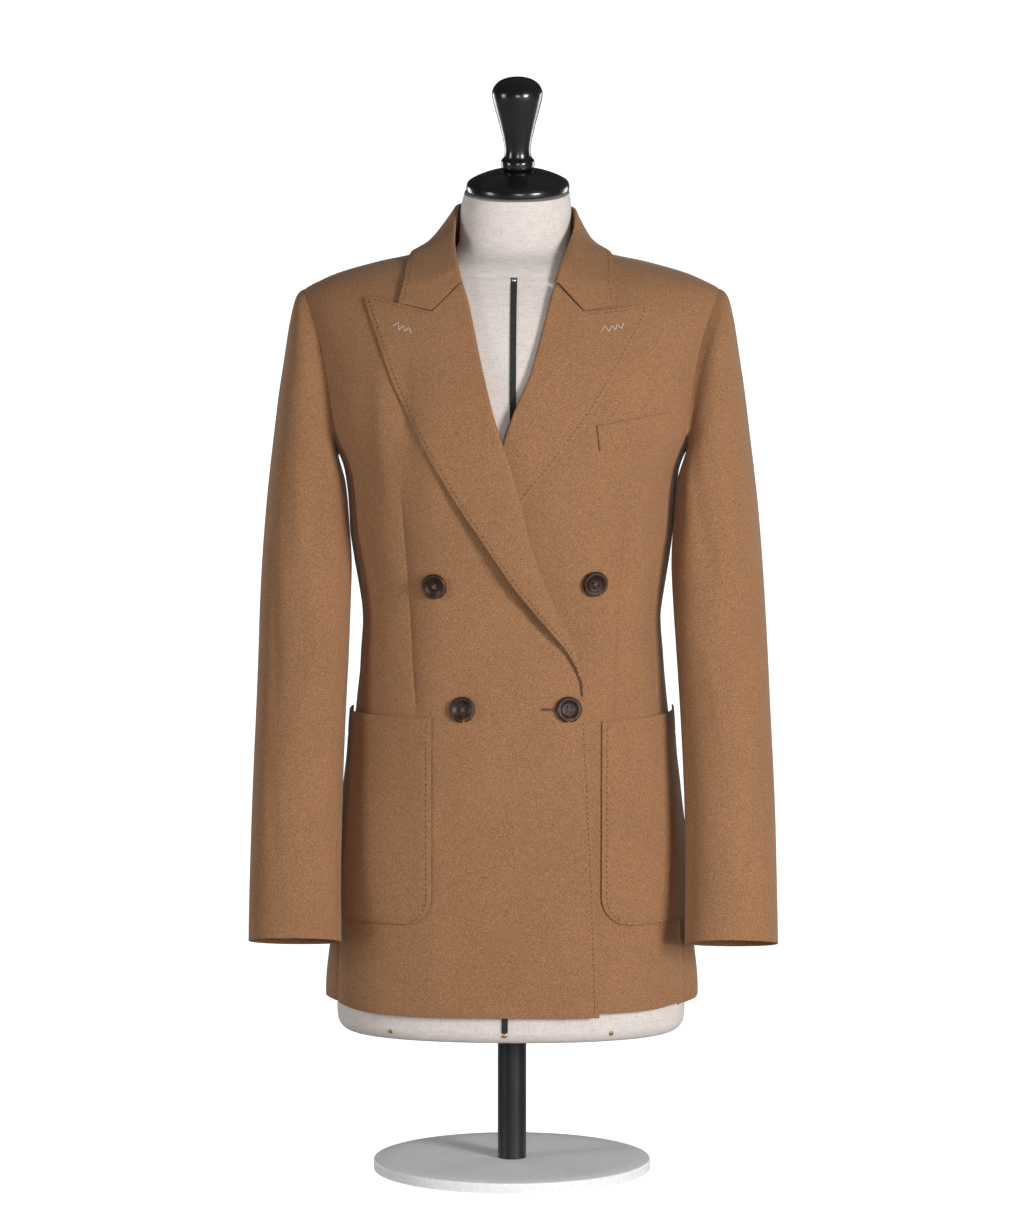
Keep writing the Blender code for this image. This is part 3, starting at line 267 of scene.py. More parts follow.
# ---------------------------------------------------------------- finishes
class Shader:
    """Node tree of one material, with short calls for the nodes that finishes use."""

    def __init__(self, name: str) -> None:
        """Start a material with its Principled shader."""
        self.material = bpy.data.materials.new(name)
        self.material.use_nodes = True
        self.tree = self.material.node_tree
        self.surface = self.tree.nodes["Principled BSDF"]
        self.place = self.tree.nodes.new("ShaderNodeTexCoord").outputs["Object"]

    def node(self, kind: str, **settings: object) -> bpy.types.Node:
        """New node with some of its properties set."""
        made = self.tree.nodes.new(kind)
        for name, value in settings.items():
            setattr(made, name, value)
        return made

    def link(self, source: bpy.types.NodeSocket, target: bpy.types.NodeSocket) -> None:
        """Join two sockets."""
        self.tree.links.new(source, target)

    def stretched(self, scale: tuple[float, float, float], turn: float = 0.0) -> bpy.types.NodeSocket:
        """Object coordinates scaled along X, Y and Z and turned about Y by turn degrees."""
        mapping = self.node("ShaderNodeMapping")
        mapping.inputs["Scale"].default_value = scale
        mapping.inputs["Rotation"].default_value = (0.0, math.radians(turn), 0.0)
        self.link(self.place, mapping.inputs["Vector"])
        return mapping.outputs["Vector"]

    def noise(self, scale: tuple[float, float, float], detail: float = 2.0, turn: float = 0.0) -> bpy.types.NodeSocket:
        """Noise from 0 to 1 with its own scale along each axis."""
        made = self.node("ShaderNodeTexNoise")
        made.inputs["Scale"].default_value = 1.0
        made.inputs["Detail"].default_value = detail
        self.link(self.stretched(scale, turn), made.inputs["Vector"])
        return made.outputs["Fac"]

    def sum(self, operation: str, first: object, second: object) -> bpy.types.NodeSocket:
        """Math node on two sockets or numbers."""
        made = self.node("ShaderNodeMath", operation=operation)
        for index, value in enumerate((first, second)):
            if isinstance(value, (int, float)):
                made.inputs[index].default_value = value
            else:
                self.link(value, made.inputs[index])
        return made.outputs[0]

    def ramp(self, source: bpy.types.NodeSocket, stops: Sequence[tuple[float, tuple[float, float, float]]]) -> bpy.types.NodeSocket:
        """Colour ramp over a value."""
        made = self.node("ShaderNodeValToRGB")
        elements = made.color_ramp.elements
        while len(elements) < len(stops):
            elements.new(0.5)
        for element, (spot, colour) in zip(elements, stops):
            element.position = spot
            element.color = (*colour, 1.0)
        self.link(source, made.inputs["Fac"])
        return made.outputs["Color"]

    def colour(self, source: bpy.types.NodeSocket) -> None:
        """Drive the base colour."""
        self.link(source, self.surface.inputs["Base Color"])

    def bump(self, source: bpy.types.NodeSocket, strength: float, distance: float) -> None:
        """Raise the surface by a value."""
        made = self.node("ShaderNodeBump")
        made.inputs["Strength"].default_value = strength
        made.inputs["Distance"].default_value = distance
        self.link(source, made.inputs["Height"])
        self.link(made.outputs["Normal"], self.surface.inputs["Normal"])

    def set(self, **values: object) -> None:
        """Set uniform values on the Principled shader; underscores stand for spaces."""
        for name, value in values.items():
            self.surface.inputs[name.replace("_", " ")].default_value = value


def tinted(colour: tuple[float, float, float], share: float) -> tuple[float, float, float]:
    """Colour multiplied by a share."""
    return tuple(min(channel * share, 1.0) for channel in colour)


@dataclass(frozen=True)
class WoolFlannel:
    """Milled wool with a fine heathered twill, lighter and darker fibres mixed in."""

    name: str = "camel wool flannel"
    colour: tuple[float, float, float] = (0.322, 0.162, 0.077)
    thread: float = 2300.0

    def material(self) -> bpy.types.Material:
        """Build the cloth material."""
        made = Shader(self.name)
        fibre = made.noise((self.thread, self.thread, self.thread * 0.6), 2.0)
        fleck = made.noise((self.thread * 0.5,) * 3, 2.0, 33.0)
        cloud = made.noise((16.0, 16.0, 11.0), 3.0)
        mixed = made.sum("ADD", made.sum("MULTIPLY", fibre, 0.62), made.sum("MULTIPLY", fleck, 0.33))
        mixed = made.sum("ADD", mixed, made.sum("MULTIPLY", cloud, 0.05))
        stops = (
            (0.36, tinted(self.colour, 0.46)),
            (0.45, tinted(self.colour, 0.76)),
            (0.51, tinted(self.colour, 0.96)),
            (0.57, tinted(self.colour, 1.24)),
            (0.65, tinted(self.colour, 1.80)),
        )
        made.colour(made.ramp(mixed, stops))
        twill = made.noise((self.thread * 1.2, self.thread * 1.2, self.thread * 0.4), 1.0, 52.0)
        made.bump(made.sum("ADD", twill, fleck), 0.35, 0.0003)
        made.set(Roughness=0.93, Sheen_Weight=0.26, Sheen_Roughness=0.45)
        made.set(Sheen_Tint=(0.90, 0.78, 0.66, 1.0), Specular_IOR_Level=0.18)
        return made.material


@dataclass(frozen=True)
class Linen:
    """Plain woven linen with slubs along both threads."""

    name: str = "natural linen"
    colour: tuple[float, float, float] = (0.735, 0.660, 0.615)

    def material(self) -> bpy.types.Material:
        """Build the linen material."""
        made = Shader(self.name)
        weft = made.noise((150.0, 150.0, 1100.0), 3.0)
        warp = made.noise((1000.0, 1000.0, 95.0), 3.0)
        slub = made.noise((60.0, 60.0, 420.0), 2.0)
        mixed = made.sum("ADD", made.sum("MULTIPLY", weft, 0.4), made.sum("MULTIPLY", warp, 0.38))
        mixed = made.sum("ADD", mixed, made.sum("MULTIPLY", slub, 0.22))
        stops = (
            (0.32, tinted(self.colour, 0.70)),
            (0.45, tinted(self.colour, 0.93)),
            (0.55, tinted(self.colour, 1.02)),
            (0.70, tinted(self.colour, 1.14)),
        )
        made.colour(made.ramp(mixed, stops))
        made.bump(mixed, 0.4, 0.0005)
        made.set(Roughness=0.88, Specular_IOR_Level=0.25, Sheen_Weight=0.1)
        return made.material


@dataclass(frozen=True)
class Lacquer:
    """Gloss black paint over turned wood, faintly uneven."""

    name: str = "black lacquer"
    colour: tuple[float, float, float] = (0.011, 0.011, 0.012)
    roughness: float = 0.24

    def material(self) -> bpy.types.Material:
        """Build the painted material."""
        made = Shader(self.name)
        wear = made.noise((30.0, 30.0, 30.0), 4.0)
        dark = tinted(self.colour, 0.75)
        made.colour(made.ramp(wear, ((0.35, dark), (0.7, tinted(self.colour, 1.5)))))
        grain = made.noise((260.0, 260.0, 40.0), 2.0)
        made.bump(grain, 0.06, 0.0004)
        haze = made.sum("ADD", made.sum("MULTIPLY", wear, 0.12), self.roughness - 0.06)
        made.link(haze, made.surface.inputs["Roughness"])
        made.set(Coat_Weight=0.35, Coat_Roughness=0.12)
        return made.material


@dataclass(frozen=True)
class PaintedSteel:
    """Satin paint over steel."""

    name: str
    colour: tuple[float, float, float]
    roughness: float

    def material(self) -> bpy.types.Material:
        """Build the paint material."""
        made = Shader(self.name)
        mottle = made.noise((220.0, 220.0, 220.0), 2.0)
        stops = ((0.3, tinted(self.colour, 0.94)), (0.7, tinted(self.colour, 1.05)))
        made.colour(made.ramp(mottle, stops))
        made.bump(mottle, 0.08, 0.0003)
        made.set(Roughness=self.roughness)
        return made.material


@dataclass(frozen=True)
class CottonTape:
    """Narrow black tape with a ribbed weave."""

    name: str = "black cotton tape"
    colour: tuple[float, float, float] = (0.012, 0.012, 0.013)

    def material(self) -> bpy.types.Material:
        """Build the tape material."""
        made = Shader(self.name)
        rib = made.noise((200.0, 200.0, 1800.0), 1.0)
        stops = ((0.35, tinted(self.colour, 0.6)), (0.65, tinted(self.colour, 1.9)))
        made.colour(made.ramp(rib, stops))
        made.bump(rib, 0.4, 0.0003)
        made.set(Roughness=0.8, Sheen_Weight=0.1)
        return made.material


@dataclass(frozen=True)
class Horn:
    """Polished dark horn with reddish brown depth and paler streaks."""

    name: str = "dark horn"
    dark: tuple[float, float, float] = (0.011, 0.007, 0.006)
    brown: tuple[float, float, float] = (0.055, 0.022, 0.010)
    pale: tuple[float, float, float] = (0.42, 0.30, 0.19)
    pale_from: float = 0.64

    def material(self) -> bpy.types.Material:
        """Build the horn material."""
        made = Shader(self.name)
        streak = made.noise((130.0, 40.0, 90.0), 3.0, 28.0)
        stops = (
            (0.36, self.dark),
            (0.50, tinted(self.brown, 0.55)),
            (self.pale_from - 0.03, self.brown),
            (self.pale_from + 0.05, self.pale),
        )
        made.colour(made.ramp(streak, stops))
        made.set(Roughness=0.42, Specular_IOR_Level=0.35)
        return made.material


@dataclass(frozen=True)
class Thread:
    """Twisted sewing thread."""

    name: str
    colour: tuple[float, float, float]

    def material(self) -> bpy.types.Material:
        """Build the thread material."""
        made = Shader(self.name)
        ply = made.noise((2600.0, 2600.0, 2600.0), 1.0)
        stops = ((0.35, tinted(self.colour, 0.75)), (0.65, tinted(self.colour, 1.15)))
        made.colour(made.ramp(ply, stops))
        made.bump(ply, 0.3, 0.0002)
        made.set(Roughness=0.7, Sheen_Weight=0.2)
        return made.material


@dataclass(frozen=True)
class NailMetal:
    """Small domed nail heads in polished metal."""

    name: str
    colour: tuple[float, float, float]

    def material(self) -> bpy.types.Material:
        """Build the nail material."""
        made = Shader(self.name)
        tarnish = made.noise((900.0, 900.0, 900.0), 2.0)
        stops = ((0.3, tinted(self.colour, 0.6)), (0.65, self.colour))
        made.colour(made.ramp(tarnish, stops))
        made.set(Metallic=1.0, Roughness=0.3)
        return made.material


class Dye(Enum):
    """Finishes used on the blazer, its form and its stand, built once each."""

    WOOL = WoolFlannel()
    LINEN = Linen()
    LACQUER = Lacquer()
    BLACK_STEEL = PaintedSteel("black painted steel", (0.010, 0.010, 0.011), 0.36)
    WHITE_STEEL = PaintedSteel("white painted steel", (0.93, 0.93, 0.93), 0.5)
    TAPE = CottonTape()
    HORN_PALE = Horn("dark horn, pale streaks", pale_from=0.63)
    HORN = Horn()
    # Paler horn for the thin ring on each button's rim: a painted highlight where light catches the rim edge.
    HORN_RIM_HIGHLIGHT = Horn("paler horn rim, painted highlight", (0.050, 0.026, 0.014), (0.150, 0.080, 0.042), pale_from=0.70)
    # Stitching thread far darker than the cloth: partly the thread's own colour, partly painted shade of the dimples
    # the stitches pull into the cloth.
    STITCH = Thread("camel stitching thread", (0.095, 0.042, 0.019))
    ZIGZAG = Thread("white stitching thread", (0.78, 0.74, 0.68))
    BUTTONHOLE = Thread("red brown buttonhole thread", (0.180, 0.060, 0.035))
    CROSS = Thread("button thread", (0.20, 0.125, 0.070))
    STEEL_NAIL = NailMetal("steel nail", (0.72, 0.72, 0.72))
    BRASS_NAIL = NailMetal("brass nail", (0.62, 0.44, 0.18))

    @property
    def material(self) -> bpy.types.Material:
        """Material of this finish."""
        known = bpy.data.materials.get(self.value.name)
        return known or self.value.material()


# ---------------------------------------------------------------- making pieces
def add_object(name: str, mesh: bpy.types.Mesh, dye: Dye) -> bpy.types.Object:
    """Link a mesh into the scene as a piece that stands with the frame.

    Args:
        name: Name of the piece.
        mesh: Its mesh, in metres.
        dye: Its finish.

    Returns:
        The piece.
    """
    mesh.materials.clear()
    mesh.materials.append(dye.material)
    mesh.shade_smooth()
    piece = bpy.data.objects.new(name, mesh)
    bpy.context.collection.objects.link(piece)
    return piece


def settle(piece: bpy.types.Object, slot: str, *nodes: str) -> bpy.types.Object:
    """Ride a finished piece on the frame and hide the nodes it stands for."""
    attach(piece, "root")
    if nodes:
        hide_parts(*nodes)
    count = sum(len(face.vertices) - 2 for face in piece.data.polygons)
    LOG.info("%s: %d triangles before modifiers", piece.name, count)
    return piece


def grid_mesh(name: str, points: Array, around: bool = False, flip: bool = False) -> bpy.types.Mesh:
    """Mesh of a grid of points.

    Args:
        name: Name of the mesh.
        points: Grid of rows, columns and coordinates, in millimetres.
        around: Whether the last column joins the first.
        flip: Whether the faces turn the other way.

    Returns:
        The mesh, in metres.
    """
    rows, columns = points.shape[:2]
    last = columns if around else columns - 1
    row, column = np.meshgrid(np.arange(rows - 1), np.arange(last), indexing="ij")
    beside = (column + 1) % columns
    corners = [row * columns + column, row * columns + beside]
    corners += [(row + 1) * columns + beside, (row + 1) * columns + column]
    faces = np.stack(corners, axis=-1).reshape(-1, 4)
    if flip:
        faces = faces[:, ::-1]
    mesh = bpy.data.meshes.new(name)
    mesh.from_pydata((points.reshape(-1, 3) * MM).tolist(), [], faces.tolist())
    return mesh


@dataclass(frozen=True)
class Cloth:
    """How a sheet is given its wall and its soft edge."""

    wall: float = 1.5
    edge: float = 0.45

    def sew(self, name: str, points: Array, dye: Dye, flip: bool = False) -> bpy.types.Object:
        """Make a thin sheet through the outer points.

        Args:
            name: Name of the piece.
            points: Grid of points on its outer side, in millimetres.
            dye: Its finish.
            flip: Whether the outer side is the other one.

        Returns:
            The sheet.
        """
        piece = add_object(name, grid_mesh(name, points, flip=flip), dye)
        wall = piece.modifiers.new("wall", "SOLIDIFY")
        wall.thickness = self.wall * MM
        wall.offset = -1.0
        wall.use_quality_normals = True
        soft = piece.modifiers.new("soft edge", "BEVEL")
        soft.width = self.edge * MM
        soft.segments = 2
        soft.limit_method = "ANGLE"
        soft.angle_limit = math.radians(55)
        soft.use_clamp_overlap = True
        return piece


def flat_area(points: Array) -> float:
    """Area of a grid of points in square metres."""
    across = points[:, 1:] - points[:, :-1]
    along = points[1:] - points[:-1]
    cells = np.linalg.norm(np.cross(across[:-1], along[:, :-1]), axis=-1)
    return float(cells.sum()) * MM * MM


def declare(piece: bpy.types.Object, points: Array, flat: tuple[float, float]) -> None:
    """State a sheet's cut size and its area.

    Args:
        piece: The sheet.
        points: Its outer points.
        flat: Width and length of its cut, in metres.
    """
    area = min(flat_area(points), flat[0] * flat[1])
    LOG.info("%s: cut %.3f by %.3f m, %.4f square metres", piece.name, *flat, flat_area(points))


# ---------------------------------------------------------------- folds and layers
@dataclass(frozen=True)
class Fold:
    """Soft ridge or trough across a panel, in the panel's own two measures."""

    start: tuple[float, float]
    stop: tuple[float, float]
    height: float
    width: float
    bow: float = 0.0

    def at(self, across: Array, up: Array) -> Array:
        """Height of the fold at places across and up the panel."""
        run_across = self.stop[0] - self.start[0]
        run_up = self.stop[1] - self.start[1]
        length = math.hypot(run_across, run_up)
        from_across = across - self.start[0]
        from_up = up - self.start[1]
        along = (from_across * run_across + from_up * run_up) / length**2
        off = (from_across * run_up - from_up * run_across) / length
        fade = np.sin(np.pi * np.clip(along, 0.0, 1.0))
        return self.height * fade**0.8 * bell(off - self.bow * fade, self.width)


def folds_at(folds: Sequence[Fold], across: Array, up: Array) -> Array:
    """Sum of several folds."""
    total = np.zeros(np.broadcast(across, up).shape)
    for fold in folds:
        total = total + fold.at(across, up)
    return total


@dataclass(frozen=True)
class Layers:
    """Heights of the stacked cloth layers above the body surface."""

    wall: float = 1.5
    fold_wall: float = 1.8
    gap: float = 1.2
    over_edge: float = 2.7
    over_lapel: float = 5.6
    vent_flare: float = 5.0
    vent_top: float = 262.0
    vent_tuck: float = 2.3
    vent_tuck_z: float = 244.0
    vent_lap: float = 3.0
    vent_lap_z: float = 214.0
    folds: tuple[Fold, ...] = (
        Fold((-120.0, 812.0), (-112.0, 640.0), 2.4, 10.0, 4.0),
        Fold((-98.0, 800.0), (-93.0, 690.0), -1.5, 8.0),
        Fold((12.0, 588.0), (38.0, 520.0), -1.6, 6.0, 2.0),
        Fold((128.0, 700.0), (119.0, 590.0), 0.9, 9.0),
        Fold((-128.0, 640.0), (-100.0, 556.0), 0.8, 9.0),
        Fold((150.0, 560.0), (100.0, 515.0), 0.8, 9.0, 4.0),
        Fold((-146.0, 545.0), (-100.0, 505.0), 0.8, 9.0, -4.0),
    )
    darts: tuple[tuple[Rows, float], ...] = (
        (((457.0, -88.0), (501.0, -91.1), (552.0, -94.1), (604.0, -97.3), (677.0, -103.2)), 0.95),
        (((457.0, 99.3), (508.7, 101.7), (571.6, 104.7), (619.0, 108.6), (667.5, 112.3)), 0.95),
    )

    def dart_dip(self, x: Array, z: Array) -> Array:
        """Fine valley along each front dart, fading out at its ends."""
        total = np.zeros(np.broadcast(x, z).shape)
        for line, depth in self.darts:
            rows = np.array(line)
            seam_x = np.interp(z, rows[:, 0], rows[:, 1])
            fade = smooth(z, rows[0, 0] - 12, rows[0, 0] + 2) * (1 - smooth(z, rows[-1, 0] - 40, rows[-1, 0]))
            total = total - fade * (1.5 * depth * bell(x - seam_x, 1.0) + 1.2 * bell(x - seam_x, 7.0))
        return total

    def soft(self, x: Array, z: Array) -> Array:
        """Folds and darts of the front, settling flat at the side seams and under the lapels."""
        degrees, _ = BODY.place(x, z)
        inside = 1 - smooth(np.abs(degrees), 54, 66)
        return (folds_at(self.folds, x, z) + self.dart_dip(x, z)) * inside

    def over(self, x: Array, z: Array) -> Array:
        """Height of the outer face of the over front."""
        upper = 1 - smooth(z, 738, 812)
        across = smooth(x, -104, -64)
        level = self.over_edge + (self.over_lapel - self.over_edge) * smooth(z, 455, 500)
        return level * upper * across + self.soft(x, z)

    def under(self, x: Array, z: Array) -> Array:
        """Height of the outer face of the under front."""
        return self.soft(x, z)

    def side(self, degrees: Array, z: Array) -> Array:
        """Height of the side body: tucked under the front at the vent, then flaring out."""
        turn = np.abs(degrees)
        foot = 1 - smooth(z, 176, self.vent_top)
        across = smooth(turn, 70.5, 82) * (1 - 0.5 * smooth(turn, 90, 111))
        tucked = (1 - smooth(z, self.vent_tuck_z, self.vent_top)) * (1 - smooth(turn, 69.4, 72.6))
        return self.vent_flare * foot * across - self.vent_tuck * tucked

    def side_start(self, z: Array) -> Array:
        """Angle of the side body's front edge, which laps under the front at the vent."""
        lap = 1 - smooth(z, self.vent_lap_z, self.vent_tuck_z - 1)
        return BODY.seam + 0.12 - self.vent_lap * lap


LAYERS = Layers()
HeightRule = Callable[[Array, Array], Array]


def seam_dip(degrees: Array, z: Array, seam: float, depth: float = 0.8) -> Array:
    """Shallow trough beside a seam that lies at a body angle."""
    reach = np.radians(np.abs(np.abs(degrees) - seam)) * BODY.sections.at(1, z)
    return -depth * bell(reach, 2.6) - 0.25 * bell(reach, 7.0)


# ---------------------------------------------------------------- lapels
@dataclass
class Lapel:
    """Peak lapel turned back along its roll line."""

    name: str
    side: Side
    sections: Rows
    height: HeightRule
    flat: tuple[float, float] = (0.105, 0.40)
    drop: float = 0.9
    dip: Rows = ((0.0, 0.0), (0.285, 1.0), (0.645, 0.45), (0.90, 0.03), (1.0, 0.0))
    rows: int = 130
    turns: int = 13
    columns: int = 46
    rests_on: str = ""
    edge_roll: float = 0.5

    def table(self) -> Table:
        """Sections numbered from the gorge."""
        return Table([(index, *row) for index, row in enumerate(self.sections)])

    def values(self, count: int) -> list[Array]:
        """Columns of the section table at evenly spaced sections."""
        table = self.table()
        spots = np.linspace(0, len(self.sections) - 1, count)
        found = [table.at(column, spots) for column in range(1, 8)]
        slip = self.drop * (1 - smooth(spots, 0, 1))
        found[1] = found[1] - slip
        found[3] = found[3] - slip * 0.4
        return found

    def root(self, count: int) -> tuple[Array, Array, Array, Array]:
        """Foot of the fold: its x, its points, their normals and the direction across the roll."""
        roll_x, roll_z, _, _, radius, _, _ = self.values(count)
        sign = self.side.value
        root_x = roll_x + sign * radius
        degrees, v = BODY.place(root_x, roll_z)
        points = BODY.base(degrees, v)
        normals = BODY.normal(degrees, v)
        line = BODY.drape(roll_x, roll_z, np.zeros(count))
        inward = unit(np.cross(np.gradient(line, axis=0), normals))
        turn = np.where(inward[:, :1] * sign > 0, -1.0, 1.0)
        return root_x, points, normals, inward * turn

    def lying(self, count: int, shares: Array) -> Array:
        """Points of the part that lies on the chest.

        Args:
            count: Number of sections.
            shares: Places from the roll line, 0, to the free edge, 1.

        Returns:
            Grid of points.
        """
        roll_x, roll_z, edge_x, edge_z, radius, rise, sag = (column[:, None] for column in self.values(count))
        root_x = roll_x + self.side.value * radius
        share = shares[None, :]
        dip = np.interp(share, *np.array(self.dip).T)
        x = root_x + (edge_x - root_x) * share
        z = roll_z + (edge_z - roll_z) * share + sag * dip
        top = self.height(root_x[:, 0], roll_z[:, 0])[:, None] - LAYERS.wall + 2 * radius
        rest = self.height(x, z) + LAYERS.gap + LAYERS.fold_wall
        settle = np.maximum(top - rest, 0.0) * (1 - share) ** 1.6
        swell = rise * np.sin(np.pi * (0.12 + 0.5 * share) ** 1.2)
        thin = -self.edge_roll * smooth(share, 0.93, 1.0)
        return BODY.drape(x, z, rest + settle + swell + thin)

    def points(self) -> Array:
        """Whole grid: the rounded fold, then the part that lies on the chest."""
        count = self.rows
        radius = self.values(count)[4][:, None]
        root_x, points, normals, inward = self.root(count)
        foot = (self.height(root_x, self.values(count)[1]) - LAYERS.wall)[:, None]
        fold = []
        for turn in np.linspace(0.0, math.pi, self.turns):
            centre = points + normals * (foot + radius)
            fold.append(centre - normals * (radius * math.cos(turn)) + inward * (radius * math.sin(turn)))
        shares = np.linspace(0.0, 1.0, self.columns + 1)[1:]
        return np.concatenate([np.stack(fold, axis=1), self.lying(count, shares)], axis=1)

    def build(self) -> bpy.types.Object:
        points = self.points()
        flip = self.side is Side.LEFT
        piece = Cloth(LAYERS.fold_wall, 0.6).sew(self.name + "_cloth", points, Dye.WOOL, flip)
        settle(piece, "camel_wool", self.name)
        declare(piece, points, self.flat)
        return piece


OVER_LAPEL = Lapel(
    "lapel_right_over",
    Side.RIGHT,
    (
        # roll x, roll z, edge x, edge z, radius, lift, sag
        (-42.6, 860.9, -138.2, 848.3, 2.9, 0.0, -22.4),
        (-40.4, 853.5, -135.6, 840.5, 2.9, 0.0, -20.2),
        (-37.0, 842.0, -131.4, 828.6, 2.9, 0.0, -16.2),
        (-32.5, 822.0, -124.8, 811.5, 2.9, 0.0, -10.6),
        (-27.5, 798.0, -117.0, 791.0, 2.9, 0.0, -5.7),
        (-21.2, 771.0, -108.2, 767.5, 3.0, 0.0, -2.0),
        (-13.5, 740.0, -94.8, 739.8, 3.1, 0.0, 0.0),
        (-4.5, 712.0, -79.0, 711.0, 3.3, 0.4, 0.0),
        (4.0, 687.0, -63.2, 685.0, 3.5, 1.8, 0.0),
        (13.2, 656.0, -44.6, 654.0, 3.9, 4.0, 0.0),
        (21.2, 621.0, -21.8, 621.0, 4.5, 7.0, 0.0),
        (32.2, 587.0, 2.2, 584.0, 5.2, 9.6, 0.0),
        (44.4, 556.0, 24.5, 552.0, 5.2, 9.4, 0.0),
        (56.4, 532.0, 41.6, 529.0, 4.4, 6.5, 0.0),
        (64.6, 511.0, 56.2, 510.0, 3.3, 3.0, 0.0),
        (70.2, 487.0, 66.8, 487.5, 2.2, 0.6, 0.0),
        (73.4, 471.0, 69.6, 471.0, 1.9, 0.0, 0.0),
    ),
    LAYERS.over,
    rests_on="front_right_over_cloth",
)
UNDER_LAPEL = Lapel(
    "lapel_left_under",
    Side.LEFT,
    (
        # roll x, roll z, edge x, edge z, radius, lift, sag
        (42.9, 860.5, 133.3, 839.5, 2.4, 0.0, -19.5),
        (40.9, 853.5, 131.2, 832.8, 2.4, 0.0, -17.8),
        (37.9, 842.0, 127.2, 823.5, 2.4, 0.0, -14.6),
        (33.2, 822.0, 119.9, 809.5, 2.4, 0.0, -9.4),
        (27.1, 798.0, 110.2, 792.2, 2.4, 0.0, -5.0),
        (19.3, 771.0, 97.7, 770.0, 2.4, 0.0, -2.0),
        (5.6, 740.0, 79.6, 740.0, 2.4, 0.0, 0.0),
        (-4.0, 712.0, 57.8, 710.0, 2.4, 0.0, 0.0),
        (-9.5, 687.0, 40.0, 687.0, 2.4, 0.0, 0.0),
        (-15.5, 656.0, 15.0, 656.0, 2.4, 0.0, 0.0),
        (-22.0, 621.0, 0.0, 621.0, 2.4, 0.0, 0.0),
        (-30.0, 588.0, -14.0, 587.0, 2.4, 0.0, 0.0),
        (-42.0, 548.0, -34.0, 548.0, 2.4, 0.0, 0.0),
        (-53.0, 510.0, -50.0, 510.0, 2.4, 0.0, 0.0),
    ),
    LAYERS.under,
    rests_on="front_left_under_cloth",
)


# ---------------------------------------------------------------- fronts, side bodies, backs
@dataclass
class Front:
    """One front: free edge, edge under the lapel's fold, neck, shoulder, armhole and side seam."""

    name: str
    side: Side
    edge: Rows
    neck: Rows
    lapel: Lapel
    height: HeightRule
    slot: str
    foot: float = 0.0
    edge_gap: float = 1.5
    ridge_gap: float = 0.0009
    seam_gap: float = 0.03
    rows: int = 160
    columns: int = 110
    flat: tuple[float, float] = (0.32, 0.76)

    def inner(self) -> Table:
        """Inner edge as angles against v."""
        spots = [(x, z) for z, x in self.edge]
        for row in reversed(self.lapel.sections):
            spots.append((row[0] + self.side.value * (row[4] + self.edge_gap), row[1]))
        spots += [(x, z) for z, x in self.neck]
        places: list[tuple[float, float]] = []
        for x, z in spots:
            degrees, v = BODY.place(x, z)
            if not places or v > places[-1][0] + 0.004:
                places.append((float(v), float(degrees)))
        return Table(places)

    def points(self) -> Array:
        """Grid from the free edge to the side seam and armhole."""
        low = np.linspace(0.0, 1.0, self.rows // 2)
        high = np.linspace(1.0, 2.0 - self.ridge_gap, self.rows // 2 + 1)[1:]
        v = np.maximum(np.concatenate([low, high]), self.foot)[:, None]
        start = self.inner().at(1, v)
        stop = self.side.value * (BODY.seam - self.seam_gap)
        share = np.linspace(0.0, 1.0, self.columns)[None, :]
        degrees = start + (stop - start) * share
        base = BODY.base(degrees, v)
        height = self.height(base[..., 0], base[..., 2])
        height = height + seam_dip(degrees, base[..., 2], BODY.seam) * (v < 1.04)
        return BODY.lifted(degrees, v * np.ones_like(degrees), height)

    def build(self) -> bpy.types.Object:
        points = self.points()
        flip = self.side is Side.RIGHT
        piece = Cloth(LAYERS.wall, 0.5).sew(self.name + "_cloth", points, Dye.WOOL, flip)
        settle(piece, self.slot, self.name)
        declare(piece, points, self.flat)
        return piece


@dataclass
class SideBody:
    """Panel under the arm, whose front seam opens in a short vent at the hem."""

    side: Side
    rows: int = 110
    columns: int = 44
    seam_gap: float = 0.03
    flat: tuple[float, float] = (0.125, 0.56)
    folds: tuple[Fold, ...] = (
        Fold((80.0, 640.0), (96.0, 520.0), 1.0, 4.0),
        Fold((98.0, 600.0), (84.0, 470.0), -1.0, 4.5),
    )

    def points(self) -> Array:
        """Grid from the front seam to the back seam."""
        share = np.linspace(0.0, 1.0, self.rows)[:, None]
        foot = BODY.hem.at(1, np.array(BODY.seam))
        start = LAYERS.side_start(foot + (BODY.underarm - foot) * share)
        stop = 180 - BODY.seam - self.seam_gap
        degrees = start + (stop - start) * np.linspace(0.0, 1.0, self.columns)[None, :]
        hem = BODY.hem.at(1, degrees)
        z = hem + (BODY.armpit.at(1, degrees) - hem) * share
        v = (z - hem) / (BODY.underarm - hem)
        inside = smooth(degrees, 69, 75) * (1 - smooth(degrees, 105, 111))
        height = LAYERS.side(degrees, z) + folds_at(self.folds, degrees, z) * inside
        height = height + seam_dip(degrees, z, BODY.seam) + seam_dip(degrees, z, 180 - BODY.seam)
        return BODY.lifted(self.side.value * degrees * np.ones_like(v), v, height)

    def build(self) -> bpy.types.Object:
        name = "side_body_" + self.side.label
        points = self.points()
        piece = Cloth(LAYERS.wall, 0.5).sew(name + "_cloth", points, Dye.WOOL, self.side is Side.RIGHT)
        settle(piece, "camel_wool_dark", name)
        declare(piece, points, self.flat)
        return piece


